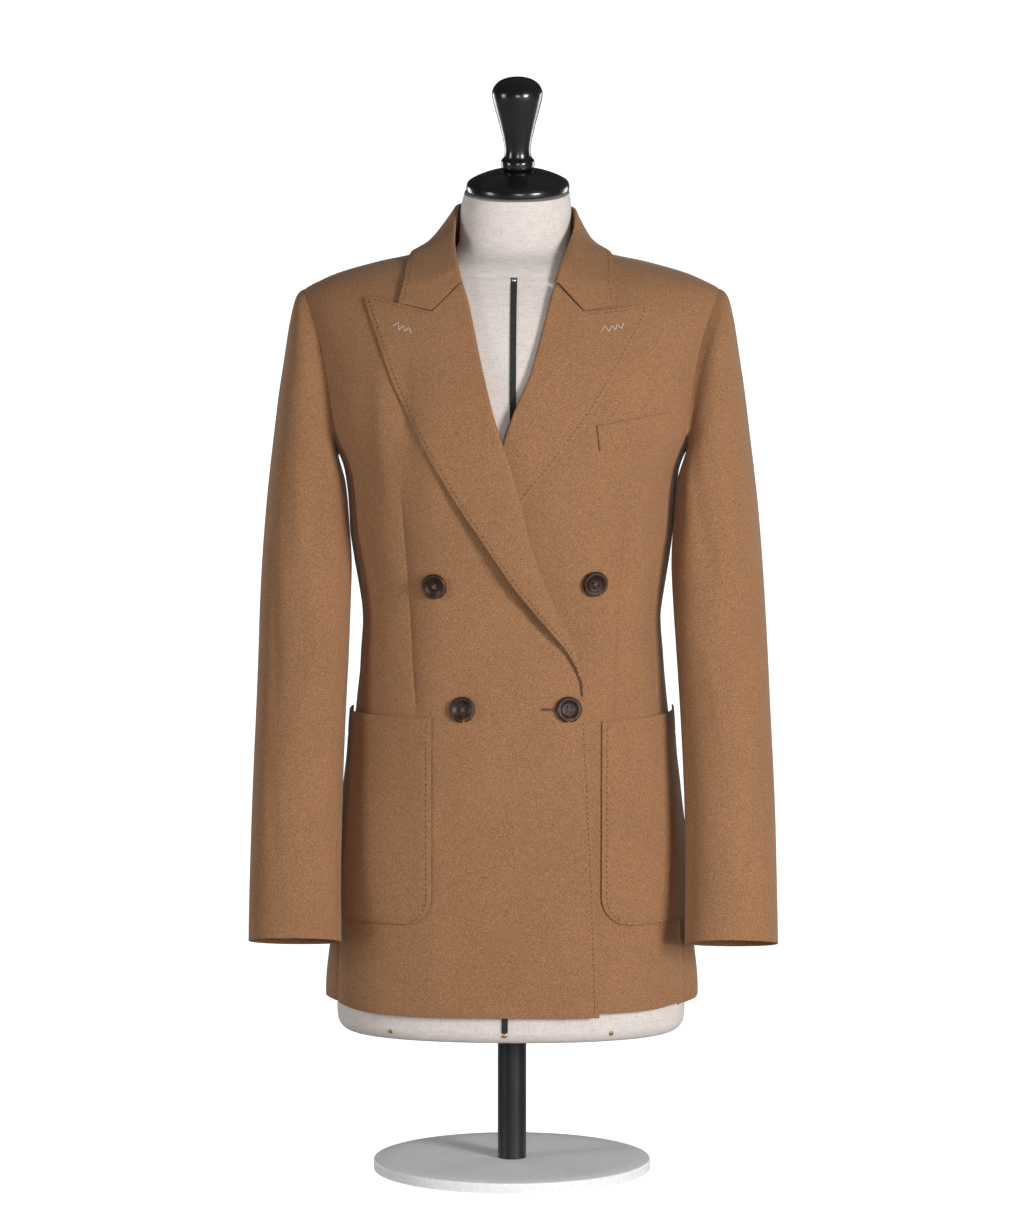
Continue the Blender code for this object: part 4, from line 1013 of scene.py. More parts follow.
@dataclass
class Back:
    """Half of the back, joined to the other along the centre seam."""

    side: Side
    rows: int = 112
    columns: int = 74
    seam_gap: float = 0.03
    ridge_gap: float = 0.0009
    flat: tuple[float, float] = (0.22, 0.80)
    folds: tuple[Fold, ...] = (
        Fold((128.0, 830.0), (134.0, 600.0), 1.6, 5.0, 1.5),
        Fold((120.0, 800.0), (124.0, 640.0), -1.0, 3.5),
        Fold((122.0, 566.0), (168.0, 528.0), 1.2, 3.2, 3.0),
        Fold((120.0, 530.0), (160.0, 500.0), -1.0, 4.0, 3.0),
        Fold((150.0, 420.0), (140.0, 200.0), 1.3, 6.0),
    )

    def neck_limit(self, degrees: Array) -> Array:
        """Highest v at an angle: the shoulder line, or the neck opening where that is lower."""
        low = np.ones_like(degrees)
        high = np.full_like(degrees, 2.0 - self.ridge_gap)
        top = high.copy()

        def outside(v: Array) -> Array:
            """Whether the surface there is outside the neck opening."""
            place = BODY.base(degrees, v)
            return (place[:, 0] / BODY.neck_half_width) ** 2 + (place[:, 1] / BODY.neck_back_depth) ** 2 >= 1

        free = outside(top)
        for _ in range(30):
            middle = (low + high) / 2
            clear = outside(middle)
            low = np.where(clear, middle, low)
            high = np.where(clear, high, middle)
        return np.where(free, top, low)

    def points(self) -> Array:
        """Grid from the side seam and armhole to the centre seam."""
        degrees = np.linspace(180 - BODY.seam + self.seam_gap, 180 - self.seam_gap, self.columns)
        limit = self.neck_limit(degrees)[None, :]
        low = np.linspace(0.0, 1.0, self.rows // 2)
        high = np.linspace(1.0, 2.0 - self.ridge_gap, self.rows // 2 + 1)[1:]
        v = np.concatenate([low, high])[:, None]
        reach = np.where(v <= 1, v, 1 + (v - 1) * (limit - 1) / (1 - self.ridge_gap))
        spread = degrees[None, :] * np.ones_like(v)
        z = BODY.base(spread, reach)[..., 2]
        flare = 0.5 * LAYERS.vent_flare * (1 - smooth(z, 176, LAYERS.vent_top)) * (1 - smooth(spread, 112, 150))
        inside = smooth(spread, 111, 118) * (1 - smooth(v, 1.7, 1.95)) * (1 - smooth(spread, 168, 178))
        height = flare + folds_at(self.folds, spread, z) * inside
        seam = seam_dip(spread, z, 180 - BODY.seam) * (v < 1.04)
        centre = np.radians(180 - spread) * np.maximum(BODY.sections.at(3, z), 60.0)
        height = height + seam - 0.8 * bell(centre, 2.6)
        return BODY.lifted(self.side.value * spread, reach, height)

    def build(self) -> bpy.types.Object:
        name = "back_" + self.side.label
        points = self.points()
        piece = Cloth(LAYERS.wall, 0.5).sew(name + "_cloth", points, Dye.WOOL, self.side is Side.RIGHT)
        settle(piece, "camel_wool", name)
        declare(piece, points, self.flat)
        return piece


# ---------------------------------------------------------------- collar
@dataclass
class Collar:
    """Collar in one length: stand, fold and fall, from gorge to gorge."""

    name: str = "collar"
    wall: float = 1.8
    turns: int = 11
    across: int = 24
    steps: int = 11
    flat: tuple[float, float] = (0.44, 0.10)
    dip: Rows = ((0.0, 0.0), (0.44, 1.0), (1.0, 0.0))
    chest: tuple[Rows, Rows] = (
        # roll x, roll z, edge x, edge z, radius, sag
        (
            (43.2, 861.8, 104.8, 842.5, 2.9, -17.6),
            (45.6, 870.0, 102.4, 853.0, 2.9, -9.5),
            (47.6, 878.0, 99.8, 865.5, 2.9, -4.0),
        ),
        (
            (42.9, 861.8, 102.3, 840.6, 2.9, -16.8),
            (45.0, 870.0, 100.2, 852.0, 2.9, -9.0),
            (47.3, 878.0, 97.6, 864.5, 2.9, -4.0),
        ),
    )
    neck: tuple[Rows, Rows] = (
        # fold x, fold y, fold z, edge x, edge y, base x, base y, base z, radius
        (
            (52.6, -48.0, 899.0, 97.0, -30.0, 55.5, -46.5, 894.0, 2.8),
            (53.5, -27.0, 918.0, 88.0, -6.0, 58.4, -25.0, 905.0, 2.7),
            (53.5, -2.0, 934.8, 80.0, 17.0, 59.6, -2.0, 909.5, 2.7),
            (48.5, 25.0, 940.0, 70.0, 41.0, 54.0, 25.5, 910.5, 2.8),
            (33.0, 47.0, 942.5, 50.0, 64.0, 36.5, 48.5, 911.0, 3.0),
            (9.5, 59.0, 944.0, 17.0, 77.0, 12.0, 61.0, 911.0, 3.0),
        ),
        (
            (54.4, -48.0, 896.6, 97.0, -31.2, 57.0, -46.5, 893.0, 2.8),
            (60.0, -27.0, 915.0, 84.0, -4.0, 61.6, -25.0, 905.0, 2.7),
            (60.8, -2.0, 931.5, 76.5, 18.0, 62.6, -2.0, 909.5, 2.7),
            (56.0, 25.0, 937.0, 67.0, 42.0, 58.0, 25.5, 910.5, 2.8),
            (39.5, 47.0, 941.0, 48.5, 64.0, 41.0, 48.5, 911.0, 3.0),
            (16.0, 59.0, 943.5, 18.0, 77.0, 16.0, 61.0, 911.0, 3.0),
        ),
    )

    def rest_z(self, x: Array, y: Array) -> Array:
        """Height at which the outer side of the collar rests over x and y."""
        here = BODY.shoulder_z(x, y)
        slope_x = BODY.shoulder_z(x + 1, y) - here
        slope_y = BODY.shoulder_z(x, y + 1) - here
        lift = LAYERS.gap + LAYERS.fold_wall + 1.0
        return here + lift * np.sqrt(1 + slope_x**2 + slope_y**2)

    def arc(self, centre: Array, out: Array, side: Array, radius: float) -> list[Array]:
        """Half-round fold from below its centre to above it."""
        turns = np.linspace(0.0, math.pi, self.turns)
        return [centre - out * (radius * math.cos(turn)) + side * (radius * math.sin(turn)) for turn in turns]

    def chest_row(self, index: int, sign: int) -> Array:
        """Section that lies on the chest."""
        rows = self.chest[(sign + 1) // 2]
        roll_x, roll_z, edge_x, edge_z, radius, sag = rows[index]
        before = rows[max(index - 1, 0)]
        after = rows[min(index + 1, len(rows) - 1)]
        root_x = roll_x + radius
        degrees, v = BODY.place(sign * root_x, roll_z)
        root = BODY.base(degrees, v)
        normal = BODY.normal(degrees, v)
        line = BODY.drape(sign * np.array([before[0], after[0]]), np.array([before[1], after[1]]), np.zeros(2))
        inward = unit(np.cross(line[1] - line[0], normal))
        if inward[0] * sign > 0:
            inward = -inward
        fold = self.arc(root + normal * (radius - LAYERS.wall), normal, inward, radius)
        start = fold[0]
        coarse = start + (fold[self.turns // 2] - start) * np.array([[-0.4], [-0.2]])
        shares = np.linspace(0.0, 1.0, self.across + 1)[1:]
        x = sign * (root_x + (edge_x - root_x) * shares)
        z = roll_z + (edge_z - roll_z) * shares + sag * np.interp(shares, *np.array(self.dip).T)
        rest = LAYERS.gap + LAYERS.fold_wall + 0.8
        settle_height = max(2 * radius - LAYERS.wall - rest, 0.0) * (1 - shares) ** 1.6
        return np.concatenate([coarse, np.array(fold), BODY.drape(x, z, rest + settle_height)])

    def neck_row(self, index: int, sign: int) -> Array:
        """Section that stands round the neck."""
        values = self.neck[(sign + 1) // 2][index]
        edge_z = float(self.rest_z(np.array(values[3]), np.array(values[4])))
        fold = np.array((sign * values[0], values[1], values[2]))
        edge = np.array((sign * values[3], values[4], edge_z))
        base = np.array((sign * values[5], values[6], values[7]))
        radius = values[8]
        outward = unit(np.array((edge[0] - fold[0], edge[1] - fold[1], 0.0)))
        upward = unit(fold - (edge * 0.35 + base * 0.65))
        outward = unit(outward - upward * outward.dot(upward))
        arc = self.arc(fold - upward * radius, outward, upward, radius)
        stand = [base, base + (arc[0] - base) * 0.5]
        bulge = unit(outward + np.array((0.0, 0.0, 0.8)))
        shares = np.linspace(0.0, 1.0, self.across + 1)[1:, None]
        fall = arc[-1] + (edge - arc[-1]) * shares + bulge * (0.6 * np.sin(np.pi * shares))
        fall[:, 2] = np.maximum(fall[:, 2], self.rest_z(np.abs(fall[:, 0]), fall[:, 1]))
        return np.concatenate([np.array(stand), np.array(arc), fall])

    def keys(self) -> Array:
        """Key sections from the right gorge round the neck to the left gorge."""
        halves = []
        for sign in (-1, 1):
            half = [self.chest_row(index, sign) for index in range(len(self.chest[0]))]
            half += [self.neck_row(index, sign) for index in range(len(self.neck[0]))]
            halves.append(half)
        return np.array(halves[0] + halves[1][::-1])

    def points(self) -> Array:
        """Grid of the whole collar, smooth between its key sections."""
        keys = self.keys()
        spots = np.linspace(0, len(keys) - 1, (len(keys) - 1) * self.steps + 1)
        low = np.minimum(spots.astype(int), len(keys) - 2)
        t = (spots - low)[:, None, None]
        before = keys[np.maximum(low - 1, 0)]
        start = keys[low]
        stop = keys[low + 1]
        after = keys[np.minimum(low + 2, len(keys) - 1)]
        rise_in = (stop - before) * 0.5
        rise_out = (after - start) * 0.5
        return (
            start * (2 * t**3 - 3 * t**2 + 1)
            + rise_in * (t**3 - 2 * t**2 + t)
            + stop * (3 * t**2 - 2 * t**3)
            + rise_out * (t**3 - t**2)
        )

    def build(self) -> bpy.types.Object:
        points = self.points()
        piece = Cloth(self.wall, 0.6).sew("collar_cloth", points, Dye.WOOL, True)
        settle(piece, "camel_wool", self.name)
        declare(piece, points, self.flat)
        return piece


# ---------------------------------------------------------------- sleeves
@dataclass
class Sleeve:
    """Two-piece sleeve set into the armhole, hanging empty beside the body."""

    side: Side
    held_by: str
    section_power: float = 2.2
    rows: int = 150
    seam_gap: float = 0.12
    seams: tuple[float, float] = (151.6, 235.2)
    shift: tuple[float, float] = (-0.9, 0.0)
    folds: tuple[Fold, ...] = ()
    rings: Rows = (
        # outer x, outer z, inner x, inner z, centre y, half depth, tilt, armhole share, lean, turn
        (199.6, 858.6, 168.8, 702.9, 0.0, 51.0, 0.0, 1.0, 0.0, 0.0),
        (206.0, 855.0, 168.8, 701.9, 0.0, 53.0, 0.0, 0.80, 0.0, 0.0),
        (210.6, 846.0, 168.6, 699.9, -0.5, 56.0, 0.0, 0.55, 0.0, 0.03),
        (215.4, 823.0, 168.0, 695.6, -1.0, 60.0, 0.0, 0.32, 0.0, 0.08),
        (220.2, 790.0, 167.0, 689.6, -2.0, 63.0, 0.0, 0.15, 0.0, 0.14),
        (225.0, 757.0, 165.4, 681.6, -4.0, 65.0, 0.0, 0.05, 0.0, 0.20),
        (229.8, 717.0, 163.6, 671.6, -6.0, 66.0, 0.0, 0.0, 0.0, 0.26),
        (234.0, 682.0, 162.0, 657.0, -8.0, 66.0, 0.0, 0.0, 0.2, 0.28),
        (237.8, 645.0, 160.0, 634.0, -11.0, 64.0, 0.0, 0.0, 0.4, 0.28),
        (241.3, 600.0, 157.0, 597.0, -15.0, 61.0, 1.0, 0.0, 0.6, 0.26),
        (243.8, 556.0, 157.4, 555.0, -20.0, 57.5, 3.0, 0.0, 1.0, 0.22),
        (245.8, 505.0, 158.8, 505.0, -28.0, 54.0, 6.5, 0.0, 1.8, 0.15),
        (247.6, 452.0, 161.0, 452.0, -41.0, 51.0, 10.0, 0.0, 2.4, 0.08),
        (249.6, 400.0, 163.0, 400.0, -55.0, 48.5, 12.0, 0.0, 3.0, 0.04),
        (251.2, 350.0, 164.4, 350.0, -66.0, 46.5, 12.0, 0.0, 3.4, 0.0),
        (252.2, 300.0, 165.0, 300.0, -77.0, 44.5, 12.0, 0.0, 3.6, 0.0),
        (252.8, 262.0, 164.6, 262.0, -85.0, 43.0, 12.0, 0.0, 3.8, 0.0),
        (253.0, 234.5, 164.2, 234.5, -91.0, 42.0, 12.0, 0.0, 4.0, 0.0),
    )

    def table(self) -> Table:
        """Rings numbered from the armhole."""
        return Table([(index, *row) for index, row in enumerate(self.rings)])

    def ring_points(self, spots: Array, degrees: Array) -> Array:
        """Points of plain rings; 0 degrees is outermost and 90 is foremost."""
        table = self.table()
        columns = [table.at(column, spots) for column in range(1, 11)]
        outer_x, outer_z, inner_x, inner_z, centre_y, half_depth, tilt, _, lean, inward = columns
        sign = self.side.value
        along = power(np.cos(np.radians(degrees)), 2 / self.section_power)
        forward = half_depth * power(np.sin(np.radians(degrees)), 2 / self.section_power)
        turned = inward * forward * (1 - along) / 2
        x = sign * ((outer_x + inner_x) / 2 + (outer_x - inner_x) / 2 * along - turned) + lean
        z = (outer_z + inner_z) / 2 + (outer_z - inner_z) / 2 * along
        z = z + forward * np.tan(np.radians(tilt))
        return np.stack(np.broadcast_arrays(x, centre_y - forward, z), axis=-1)

    def armhole(self) -> Array:
        """Closed armhole seam, starting at the shoulder."""
        sign = self.side.value
        front = BODY.base(sign * BODY.seam, np.linspace(2.0, 1.0, 60))
        under = np.linspace(BODY.seam, 180 - BODY.seam, 40)[1:-1]
        hem = BODY.hem.at(1, under)
        below = BODY.base(sign * under, (BODY.armpit.at(1, under) - hem) / (BODY.underarm - hem))
        back = BODY.base(sign * (180 - BODY.seam), np.linspace(1.0, 2.0, 60))
        return np.concatenate([front, below, back])

    def offsets(self, degrees: Array) -> Array:
        """Distance from the first plain ring to the armhole seam at each angle."""
        outer_x, outer_z, inner_x, inner_z, centre_y, half_depth = self.rings[0][:6]
        sign = self.side.value
        centre = np.array((sign * (outer_x + inner_x) / 2, 0.0, (outer_z + inner_z) / 2))
        arm = np.array((sign * outer_x, 0.0, outer_z)) - centre
        loop = self.armhole() + np.array((sign * self.shift[0], 0.0, self.shift[1]))
        along = (loop - centre) @ arm / arm.dot(arm)
        ahead = -(loop[:, 1] - centre_y) / half_depth
        half = self.section_power / 2
        angle = np.degrees(np.arctan2(power(ahead, half), power(along, half)))
        order = np.argsort(angle)
        angle = angle[order]
        loop = loop[order]
        wrapped = (degrees + 180) % 360 - 180
        seam = np.stack([np.interp(wrapped, angle, loop[:, axis], period=360) for axis in range(3)], axis=-1)
        return seam - self.ring_points(np.zeros_like(wrapped), wrapped)

    def points(self, start: float, stop: float, columns: int) -> Array:
        """Grid of one piece of the sleeve between two seams."""
        degrees = np.linspace(start, stop, columns)[None, :]
        spots = (np.linspace(0.0, 1.0, self.rows) ** 1.0 * (len(self.rings) - 1))[:, None]
        plain = self.ring_points(spots, degrees)
        share = self.table().at(8, spots)[..., None]
        points = plain + self.offsets(degrees[0])[None, :, :] * share
        return points + self.outward(points) * self.relief(degrees, points[..., 2], start, stop)[..., None]

    def outward(self, points: Array) -> Array:
        """Outward direction at every point."""
        around = np.gradient(points, axis=1)
        downward = np.gradient(points, axis=0)
        facing = unit(np.cross(around, downward))
        return facing * -self.side.value

    def relief(self, degrees: Array, z: Array, start: float, stop: float) -> Array:
        """Folds of the sleeve, flat at the armhole and cuff, with a trough at each seam."""
        open_part = smooth(z, 245, 290) * (1 - smooth(z, 770, 830))
        beside = np.minimum(np.abs(degrees - start), np.abs(degrees - stop))
        seam = -0.8 * bell(beside, 2.6) * (1 - smooth(z, 640, 700))
        wrap = np.where(degrees > 180, degrees - 360, degrees)
        return folds_at(self.folds, wrap, z) * open_part + seam

    def build(self) -> list[bpy.types.Object]:
        front, back = self.seams
        gap = self.seam_gap
        made = []
        plan = (
            ("sleeve_top_", back - 360 + gap, front - gap, 130, (0.27, 0.70)),
            ("sleeve_under_", front + gap, back - gap, 70, (0.14, 0.58)),
        )
        for stem, start, stop, columns, flat in plan:
            name = stem + self.side.label
            points = self.points(start, stop, columns)
            piece = Cloth(LAYERS.wall, 0.5).sew(name + "_cloth", points, Dye.WOOL, self.side is Side.RIGHT)
            settle(piece, "camel_wool", name)
            declare(piece, points, flat)
            made.append(piece)
        return made


# ---------------------------------------------------------------- pockets
@dataclass
class PatchPocket:
    """Large patch pocket over the front and side body, gaping a little at the mouth."""

    side: Side
    inner: float
    top_in: float
    top_out: float
    foot: float
    corner: float
    height: HeightRule
    end: float = 97.0
    bulge: float = 1.2
    gape: float = 3.2
    rows: int = 96
    columns: int = 84
    flat: tuple[float, float] = (0.185, 0.20)

    def level(self, degrees: Array, x: Array, z: Array) -> Array:
        """Height of the outermost panel below the pocket."""
        swing = LAYERS.side(degrees, z) * smooth(degrees, BODY.seam - 4, BODY.seam)
        return np.maximum(self.height(x, z), swing)

    def grid(self, share: Array, step: Array) -> Array:
        """Points of the pocket; share runs up from the foot and step outwards."""
        top = self.top_in + (self.top_out - self.top_in) * step
        z = self.foot + (top - self.foot) * share
        rise = np.minimum((z - self.foot) / self.corner, 1.0)
        inset = self.corner * (1 - np.sqrt(np.maximum(1 - (1 - rise) ** 2, 0.0)))
        inner, _ = BODY.place(self.inner + inset, z)
        degrees = inner + (self.end - inner) * step
        hem = BODY.hem.at(1, degrees)
        v = (z - hem) / (BODY.underarm - hem)
        base = BODY.base(self.side.value * degrees, v)
        swell = self.bulge * np.sin(np.pi * np.minimum(step * 1.1, 1.0)) * np.sin(np.pi * share)
        mouth = self.gape * smooth(share, 0.72, 1.0) * smooth(step, 0.25, 0.8)
        rim = -0.55 * (1 - smooth(step, 0.0, 0.045) * smooth(share, 0.0, 0.03))
        fold = -0.35 * bell((share - 0.875) * 200, 1.6)
        height = self.level(degrees, base[..., 0], z) + LAYERS.gap + LAYERS.wall + swell + mouth + rim + fold
        return BODY.lifted(self.side.value * degrees, v, height)

    def points(self) -> Array:
        """Grid of the pocket, finer round its lower corner."""
        share = (np.linspace(0.0, 1.0, self.rows) ** 1.5)[:, None]
        return self.grid(share, np.linspace(0.0, 1.0, self.columns)[None, :])

    def build(self) -> bpy.types.Object:
        name = "patch_pocket_" + self.side.label
        points = self.points()
        piece = Cloth(LAYERS.wall, 0.6).sew(name + "_cloth", points, Dye.WOOL, self.side is Side.RIGHT)
        settle(piece, "camel_wool", name)
        declare(piece, points, self.flat)
        return piece


@dataclass
class Welt:
    """Slanted welt of the breast pocket on the wearer's left."""

    name: str = "breast_welt"
    corners: Rows = ((86.6, 704.6), (155.0, 716.4), (152.8, 741.2), (84.0, 728.6))
    rows: int = 30
    columns: int = 70
    lift: float = 0.8

    def spot(self, across: Array, up: Array) -> tuple[Array, Array]:
        """x and z at shares across and up the welt."""
        (x0, z0), (x1, z1), (x2, z2), (x3, z3) = self.corners
        low_x = x0 + (x1 - x0) * across
        low_z = z0 + (z1 - z0) * across
        high_x = x3 + (x2 - x3) * across
        high_z = z3 + (z2 - z3) * across
        return low_x + (high_x - low_x) * up, low_z + (high_z - low_z) * up

    def grid(self, across: Array, up: Array, over: float = 0.0) -> Array:
        """Points of the welt, or of thread lying over it."""
        x, z = self.spot(across, up)
        near = np.minimum(np.minimum(across, 1 - across) * 69, np.minimum(up, 1 - up) * 24)
        height = LAYERS.under(x, z) + self.lift + LAYERS.wall - 0.5 * (1 - smooth(near, 0, 2.4)) + over
        return BODY.drape(x, z, height)

    def build(self) -> bpy.types.Object:
        across = np.linspace(0.0, 1.0, self.columns)[None, :]
        up = np.linspace(0.0, 1.0, self.rows)[:, None]
        points = self.grid(across, up)
        piece = Cloth(LAYERS.wall, 0.45).sew(self.name + "_cloth", points, Dye.WOOL)
        settle(piece, "camel_wool", self.name)
        declare(piece, points, (0.072, 0.028))
        return piece


# ---------------------------------------------------------------- turned parts
@dataclass(frozen=True)
class Turned:
    """Turned solid about Z from a profile of radius and height, top to bottom."""

    profile: Rows
    sides: int = 96
    refine: int = 6
    sharp: tuple[int, ...] = ()

    def outline(self) -> Array:
        """Profile with soft curves between its points, except at the sharp ones."""
        rows = np.array(self.profile, float)
        count = len(rows)
        made = []
        for index in range(count - 1):
            start, stop = rows[index], rows[index + 1]
            before = start if index == 0 or index in self.sharp else rows[index - 1]
            after = stop if index + 2 >= count or index + 1 in self.sharp else rows[index + 2]
            rise_in = (stop - before) * (0.5 if before is not start else 1.0)
            rise_out = (after - start) * (0.5 if after is not stop else 1.0)
            for t in np.arange(self.refine) / self.refine:
                made.append(
                    start * (2 * t**3 - 3 * t**2 + 1)
                    + rise_in * (t**3 - 2 * t**2 + t)
                    + stop * (3 * t**2 - 2 * t**3)
                    + rise_out * (t**3 - t**2)
                )
        made.append(rows[-1])
        outline = np.array(made)
        outline[:, 0] = np.maximum(outline[:, 0], 0.0)
        return outline

    def mesh(self, name: str) -> bpy.types.Mesh:
        """Closed mesh of the turned shape, in metres."""
        outline = self.outline()
        angles = np.arange(self.sides) * 2 * math.pi / self.sides
        ring = np.stack([np.cos(angles), np.sin(angles)], axis=-1)
        body = outline[1:-1]
        points = np.concatenate([
            body[:, None, :1] * ring[None],
            np.repeat(body[:, None, 1:], self.sides, axis=1),
        ], axis=-1)
        mesh = bpy.data.meshes.new(name)
        shape = bmesh.new()
        verts = [[shape.verts.new(point * MM) for point in row] for row in points]
        top = shape.verts.new((0.0, 0.0, outline[0][1] * MM))
        foot = shape.verts.new((0.0, 0.0, outline[-1][1] * MM))
        for index in range(self.sides):
            beside = (index + 1) % self.sides
            shape.faces.new((top, verts[0][index], verts[0][beside]))
            shape.faces.new((foot, verts[-1][beside], verts[-1][index]))
            for upper, lower in zip(verts, verts[1:]):
                shape.faces.new((upper[index], lower[index], lower[beside], upper[beside]))
        shape.to_mesh(mesh)
        shape.free()
        return mesh


def tube_mesh(name: str, lines: Sequence[Array], radius: float, sides: int = 6) -> bpy.types.Mesh:
    """One mesh of closed tubes along several lines.

    Args:
        name: Name of the mesh.
        lines: Points of each line, in millimetres.
        radius: Radius of the tubes, in millimetres.
        sides: Sides of each tube.

    Returns:
        The mesh, in metres.
    """
    mesh = bpy.data.meshes.new(name)
    shape = bmesh.new()
    for line in lines:
        line = np.asarray(line, float)
        ahead = unit(np.gradient(line, axis=0))
        guide = np.array((0.0, -1.0, 0.05)) if abs(ahead[0][1]) < 0.8 else np.array((1.0, 0.0, 0.0))
        across = unit(np.cross(ahead, guide))
        up = unit(np.cross(across, ahead))
        rings = []
        for index, (centre, side, top) in enumerate(zip(line, across, up)):
            size = radius * (0.55 if index in (0, len(line) - 1) else 1.0)
            turns = np.arange(sides) * 2 * math.pi / sides
            ring = centre + size * (np.cos(turns)[:, None] * side + np.sin(turns)[:, None] * top)
            rings.append([shape.verts.new(point * MM) for point in ring])
        for lower, upper in zip(rings, rings[1:]):
            for index in range(sides):
                beside = (index + 1) % sides
                shape.faces.new((lower[index], lower[beside], upper[beside], upper[index]))
        shape.faces.new(rings[0][::-1])
        shape.faces.new(rings[-1])
    bmesh.ops.recalc_face_normals(shape, faces=shape.faces)
    shape.to_mesh(mesh)
    shape.free()
    return mesh


# ---------------------------------------------------------------- buttons
@dataclass
class Button:
    """Four-hole horn button sewn on with a cross of thread."""

    name: str
    x: float
    z: float
    height: HeightRule
    dye: Dye = Dye.HORN
    turn: float = 0.0
    standoff: float = 1.3
    hole_radius: float = 1.0
    hole_offset: float = 2.3
    shape: Turned = field(default_factory=lambda: Turned((
        # radius, height
        (0.0, 2.6),
        (5.6, 2.6),
        (7.4, 3.4),
        (9.2, 4.2),
        (11.0, 3.9),
        (12.2, 2.6),
        (11.9, 1.3),
        (9.6, 0.3),
        (0.0, 0.0),
    ), sharp=(0, 8)))

    def seat(self) -> Matrix:
        """Where the button lies: its axis out of the cloth."""
        x, z = np.array(self.x), np.array(self.z)
        degrees, v = BODY.place(x, z)
        normal = Vector(BODY.normal(degrees, v))
        flat = LAYERS.over_edge if self.height == LAYERS.over and self.z < 470 else 0.0
        rest = max(float(self.height(x, z)), flat) + self.standoff
        spot = Vector(BODY.lifted(degrees, v, np.array(rest))) * MM
        facing = normal.to_track_quat("Z", "Y").to_matrix().to_4x4()
        return Matrix.Translation(spot) @ facing @ Matrix.Rotation(math.radians(self.turn), 4, "Z")

    def bored(self) -> bpy.types.Mesh:
        """Mesh of the button with its four holes."""
        blank = bpy.data.objects.new(self.name + "_blank", self.shape.mesh(self.name))
        bpy.context.collection.objects.link(blank)
        drill = bpy.data.meshes.new("drill")
        bits = bmesh.new()
        for across in (-1, 1):
            for up in (-1, 1):
                spot = Matrix.Translation((across * self.hole_offset * MM, up * self.hole_offset * MM, 0.002))
                bmesh.ops.create_cone(
                    bits,
                    cap_ends=True,
                    segments=24,
                    radius1=self.hole_radius * MM,
                    radius2=self.hole_radius * MM,
                    depth=0.012,
                    matrix=spot,
                )
        bits.to_mesh(drill)
        bits.free()
        cutter = bpy.data.objects.new("drill", drill)
        bpy.context.collection.objects.link(cutter)
        cut = blank.modifiers.new("holes", "BOOLEAN")
        cut.object = cutter
        cut.solver = "EXACT"
        view = bpy.context.evaluated_depsgraph_get()
        mesh = bpy.data.meshes.new_from_object(blank.evaluated_get(view))
        for item in (blank, cutter):
            bpy.data.objects.remove(item, do_unlink=True)
        return mesh

    def thread(self) -> bpy.types.Mesh:
        """Cross of thread between the holes, and the shank below."""
        reach = self.hole_offset
        lines = []
        for sign in (-1, 1):
            for shift in (-0.28, 0.28):
                along = np.linspace(-1.0, 1.0, 9)
                hump = 2.75 + 0.5 * (1 - along**2) + (0.35 if sign > 0 else 0.0) * (1 - np.abs(along))
                hump = np.where(np.abs(along) > 0.99, 1.2, hump)
                x = along * reach + shift * sign
                y = along * reach * sign - shift
                lines.append(np.stack([x, y, hump], axis=-1))
        for across in (-0.9, 0.9):
            for up in (-0.9, 0.9):
                lines.append(np.array([(across, up, 0.3), (across, up, -self.standoff + 0.1)]))
        return tube_mesh(self.name + "_thread", lines, 0.26)

    def build(self) -> list[bpy.types.Object]:
        """Make the button and its thread."""
        seat = self.seat()
        button = add_object(self.name + "_horn", self.bored(), self.dye)
        button.data.set_sharp_from_angle(angle=math.radians(40))
        button.matrix_world = seat
        settle(button, "dark_horn", self.name)
        # Thin paler ring on the outer slope of the rim: a painted highlight along the rim edge, not wear.
        turns = np.linspace(0.0, 2 * math.pi, 49)
        ring = np.stack([10.6 * np.cos(turns), 10.6 * np.sin(turns), np.full(49, 3.95)], axis=-1)
        rim = add_object(self.name + "_rim", tube_mesh(self.name + "_rim", [ring], 0.55, 8), Dye.HORN_RIM_HIGHLIGHT)
        rim.matrix_world = seat
        settle(rim, "dark_horn")
        thread = add_object(self.name + "_thread", self.thread(), Dye.CROSS)
        thread.matrix_world = seat
        settle(thread, "camel_wool")
        return [button, rim, thread]


# ---------------------------------------------------------------- hand stitching
@dataclass
class PickStitching:
    """Small hand stitches set a little inside an edge, in thread darkened with painted shade of the dimples they pull
    into the cloth.
    """

    spacing: float = 5.0
    length: float = 2.3
    radius: float = 0.40
    sunk: float = 0.10

    def dashes(self, line: Array, outward: Array) -> list[Array]:
        """Short thread pieces along a line.

        Args:
            line: Closely spaced points on the cloth.
            outward: Direction out of the cloth at each point.

        Returns:
            Points of each dash.
        """
        steps = np.linalg.norm(np.diff(line, axis=0), axis=1)
        run = np.concatenate([[0.0], np.cumsum(steps)])
        made = []
        for start in np.arange(self.spacing, run[-1] - self.spacing, self.spacing):
            spots = start + np.linspace(0.0, self.length, 5)
            place = np.stack([np.interp(spots, run, line[:, axis]) for axis in range(3)], axis=-1)
            facing = unit(np.stack([np.interp(spots, run, outward[:, axis]) for axis in range(3)], axis=-1))
            hump = self.sunk + 0.12 * np.sin(np.linspace(0.0, math.pi, 5)) - 0.25 * (np.abs(np.linspace(-1, 1, 5)) > 0.9)
            made.append(place + facing * hump[:, None])
        return made

    def build(self, name: str, runs: Sequence[tuple[Array, Array]]) -> bpy.types.Object:
        """Make one piece of all the stitches along several lines."""
        lines = [dash for line, outward in runs for dash in self.dashes(line, outward)]
        # The dark thread colour carries painted shade of the stitch dimples.
        piece = add_object(name, tube_mesh(name, lines, self.radius, 5), Dye.STITCH)
        return settle(piece, "camel_wool_dark")


